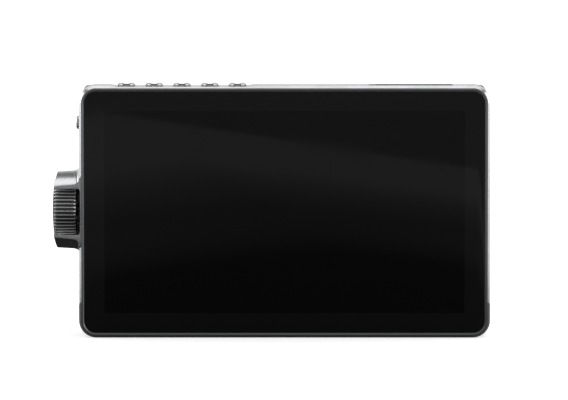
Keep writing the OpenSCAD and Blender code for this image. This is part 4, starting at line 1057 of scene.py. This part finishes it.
# Threaded bore: each row's radius follows the thread round the axis
def makeInsert():
    lo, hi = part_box("tripod_insert")
    t = insert
    rim = (hi.x - lo.x) / 2

    def threadRow(depth, z):
        def radius(a):
            turn = (z / t["pitch"] - a / (2 * math.pi)) % 1
            return t["bore"] + depth * min(max(1.5 - abs(4 * turn - 2) * 1.25, 0), 1)
        return radius

    section = [(0, lo.z + t["boreDepth"]), (t["bore"], lo.z + t["boreDepth"])]
    rows = int(t["boreDepth"] / t["pitch"] * t["rowsPerTurn"])
    for k in range(1, rows):
        z = lo.z + t["boreDepth"] * (1 - k / rows)
        fade = min(k / 6, (rows - k) / 6, 1)
        section.append((threadRow(t["threadDepth"] * fade, z), z))
    section += [(t["bore"] + 0.35 * mm, lo.z), (rim - 0.3 * mm, lo.z), (rim, lo.z + 0.3 * mm),
                (rim, lo.z + t["rimHeight"]), (t["body"], lo.z + t["rimHeight"]),
                (t["body"], hi.z - 0.3 * mm), (t["body"] - 0.3 * mm, hi.z), (0, hi.z)]
    mesh = loftMesh("tripodBushing", turnedRings(section, 2, insertCentre, 48), sharp=30)
    addPiece("tripodBushing", mesh, "housing", "steel", "tripod_insert")


makeInsert()

fan = {
    "blades": 7,
    "hub": 6.5 * mm,
    "hubRound": 0.7 * mm,
    "axleHole": 1.05 * mm,
    "holeEnd": 0.8 * mm,
    "tip": 13.2 * mm,
    "sweep": 22,
    "lean": (1.5 * mm, 2.3 * mm),   # how far the blade leans over to each side, at the root and at the tip
    "camber": 0.3,
    "thickness": 0.3 * mm,
}


def makeFan():
    lo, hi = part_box("fan_rotor")
    centre = boxMiddle("fan_frame")
    f = fan
    section = [(0, hi.y - f["holeEnd"]), (f["axleHole"], hi.y - f["holeEnd"]), (f["axleHole"], lo.y),
               (f["hub"] - 0.3 * mm, lo.y), (f["hub"], lo.y + 0.3 * mm)]
    section += quarterArc(f["hub"] - f["hubRound"], hi.y - f["hubRound"], f["hubRound"], 0, 5) + [(0, hi.y)]
    hub = loftMesh("fanHub", turnedRings(section, 1, centre, 48), sharp=35)
    addPiece("fanHub", hub, "fan", "black_plastic", "fan_rotor")

    half = (hi.y - lo.y) / 2 - 0.2 * mm
    rings = []
    for station in range(7):
        k = station / 6
        reach = f["hub"] - 0.4 * mm + (f["tip"] - f["hub"] + 0.4 * mm) * k
        lean = f["lean"][0] + (f["lean"][1] - f["lean"][0]) * k
        ring = []
        for side in (1, -1):
            for i in range(9):
                u = (i / 4 - 1) * side
                thick = (f["thickness"] * math.sqrt(1 - u * u) + 0.05 * mm) * side
                across = lean * (u + f["camber"] * (1 - u * u)) + thick
                a = across / reach + math.radians(f["sweep"]) * k * k
                ring.append(Vector((reach * math.cos(a), half * u, reach * math.sin(a))))
        rings.append(ring)
    blade = loftMesh("fanBlade", rings, sharp=50)
    arrayed("fanBlades", blade, roundArray, "fan", "black_plastic", (), 50, Copies=f["blades"],
            Turn=(0.0, 2 * math.pi / f["blades"], 0.0), First_turn=(0.0, 0.2, 0.0),
            Centre=(centre.x, (lo.y + hi.y) / 2, centre.z))


makeFan()

# rows of contacts on the tongues in the sockets: how many, their step, length and width
videoContacts = {"count": 10, "step": 1.0 * mm, "length": 3.4 * mm, "width": 0.5 * mm, "tongue": 0.9 * mm,
                 "inset": 1.25 * mm, "thickness": 0.06 * mm}
dataContacts = {**videoContacts, "count": 8, "step": 0.66 * mm, "length": 2.2 * mm, "width": 0.32 * mm,
                "tongue": 0.7 * mm}
contactSection = ((1.0, 1.0), (0.6, 1.1), (-1.0, 1.1), (-1.0, -1.1), (0.6, -1.1), (1.0, -1.0))


def makeContacts(node, name, c):
    lo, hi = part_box(node)
    middle = (lo + hi) / 2
    front = hi.x - c["inset"]
    w, t = c["width"] / 2, c["thickness"]
    rings = []
    for x, wide, thick in ((-c["length"], 1.0, 1.0), (-0.3 * mm, 1.0, 1.0), (-0.08 * mm, 0.85, 0.8), (0, 0.55, 0.3)):
        rings.append([Vector((front + x, thick * t * up, wide * w * along)) for up, along in contactSection])
    mesh = loftMesh(name, rings, sharp=30)
    arrayed(name, mesh, gridArray, "housing", "brass", (), 30, Across=c["count"], Up=2,
            Step_across=(0.0, 0.0, c["step"]), Step_up=(0.0, c["tongue"], 0.0),
            Corner=(0.0, middle.y - c["tongue"] / 2, middle.z - c["step"] * (c["count"] - 1) / 2))


makeContacts("video_in_socket", "videoInContacts", videoContacts)
makeContacts("video_out_socket", "videoOutContacts", videoContacts)
makeContacts("usb_socket", "dataContacts", dataContacts)

release = {
    "radius": 3.2 * mm,
    "bars": 5,
    "step": 0.95 * mm,
    "length": 3.4 * mm,
    "width": 0.42 * mm,
    "height": 0.2 * mm,
    "sink": 0.02 * mm,         # the bars' feet stand this far in the button
}


def makeReleaseBars():
    lo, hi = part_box("battery_latch")
    b = release
    top = hi.y - b["sink"]
    rings = []
    for z, share in ((-0.5, 0.3), (-0.46, 0.8), (-0.4, 1.0), (0.4, 1.0), (0.46, 0.8), (0.5, 0.3)):
        ring = []
        for i in range(7):
            a = math.pi * i / 6
            ring.append(Vector((b["width"] / 2 * share * math.cos(a), top + b["height"] * share * math.sin(a),
                                b["length"] * z)))
        rings.append(ring)
    mesh = loftMesh("releaseBar", rings, sharp=50)
    middle = hi.x - b["radius"]
    arrayed("releaseBars", mesh, gridArray, "battery_latch", "latch_plastic", (), 50, Across=b["bars"], Up=1,
            Step_across=(b["step"], 0.0, 0.0), Step_up=(0.0, 0.0, 0.0),
            Corner=(middle - b["step"] * (b["bars"] - 1) / 2, 0.0, (lo.z + hi.z) / 2))


roundedCopy("latchBar", "battery_latch", "battery_latch", roundings["latch"])
makeReleaseBars()
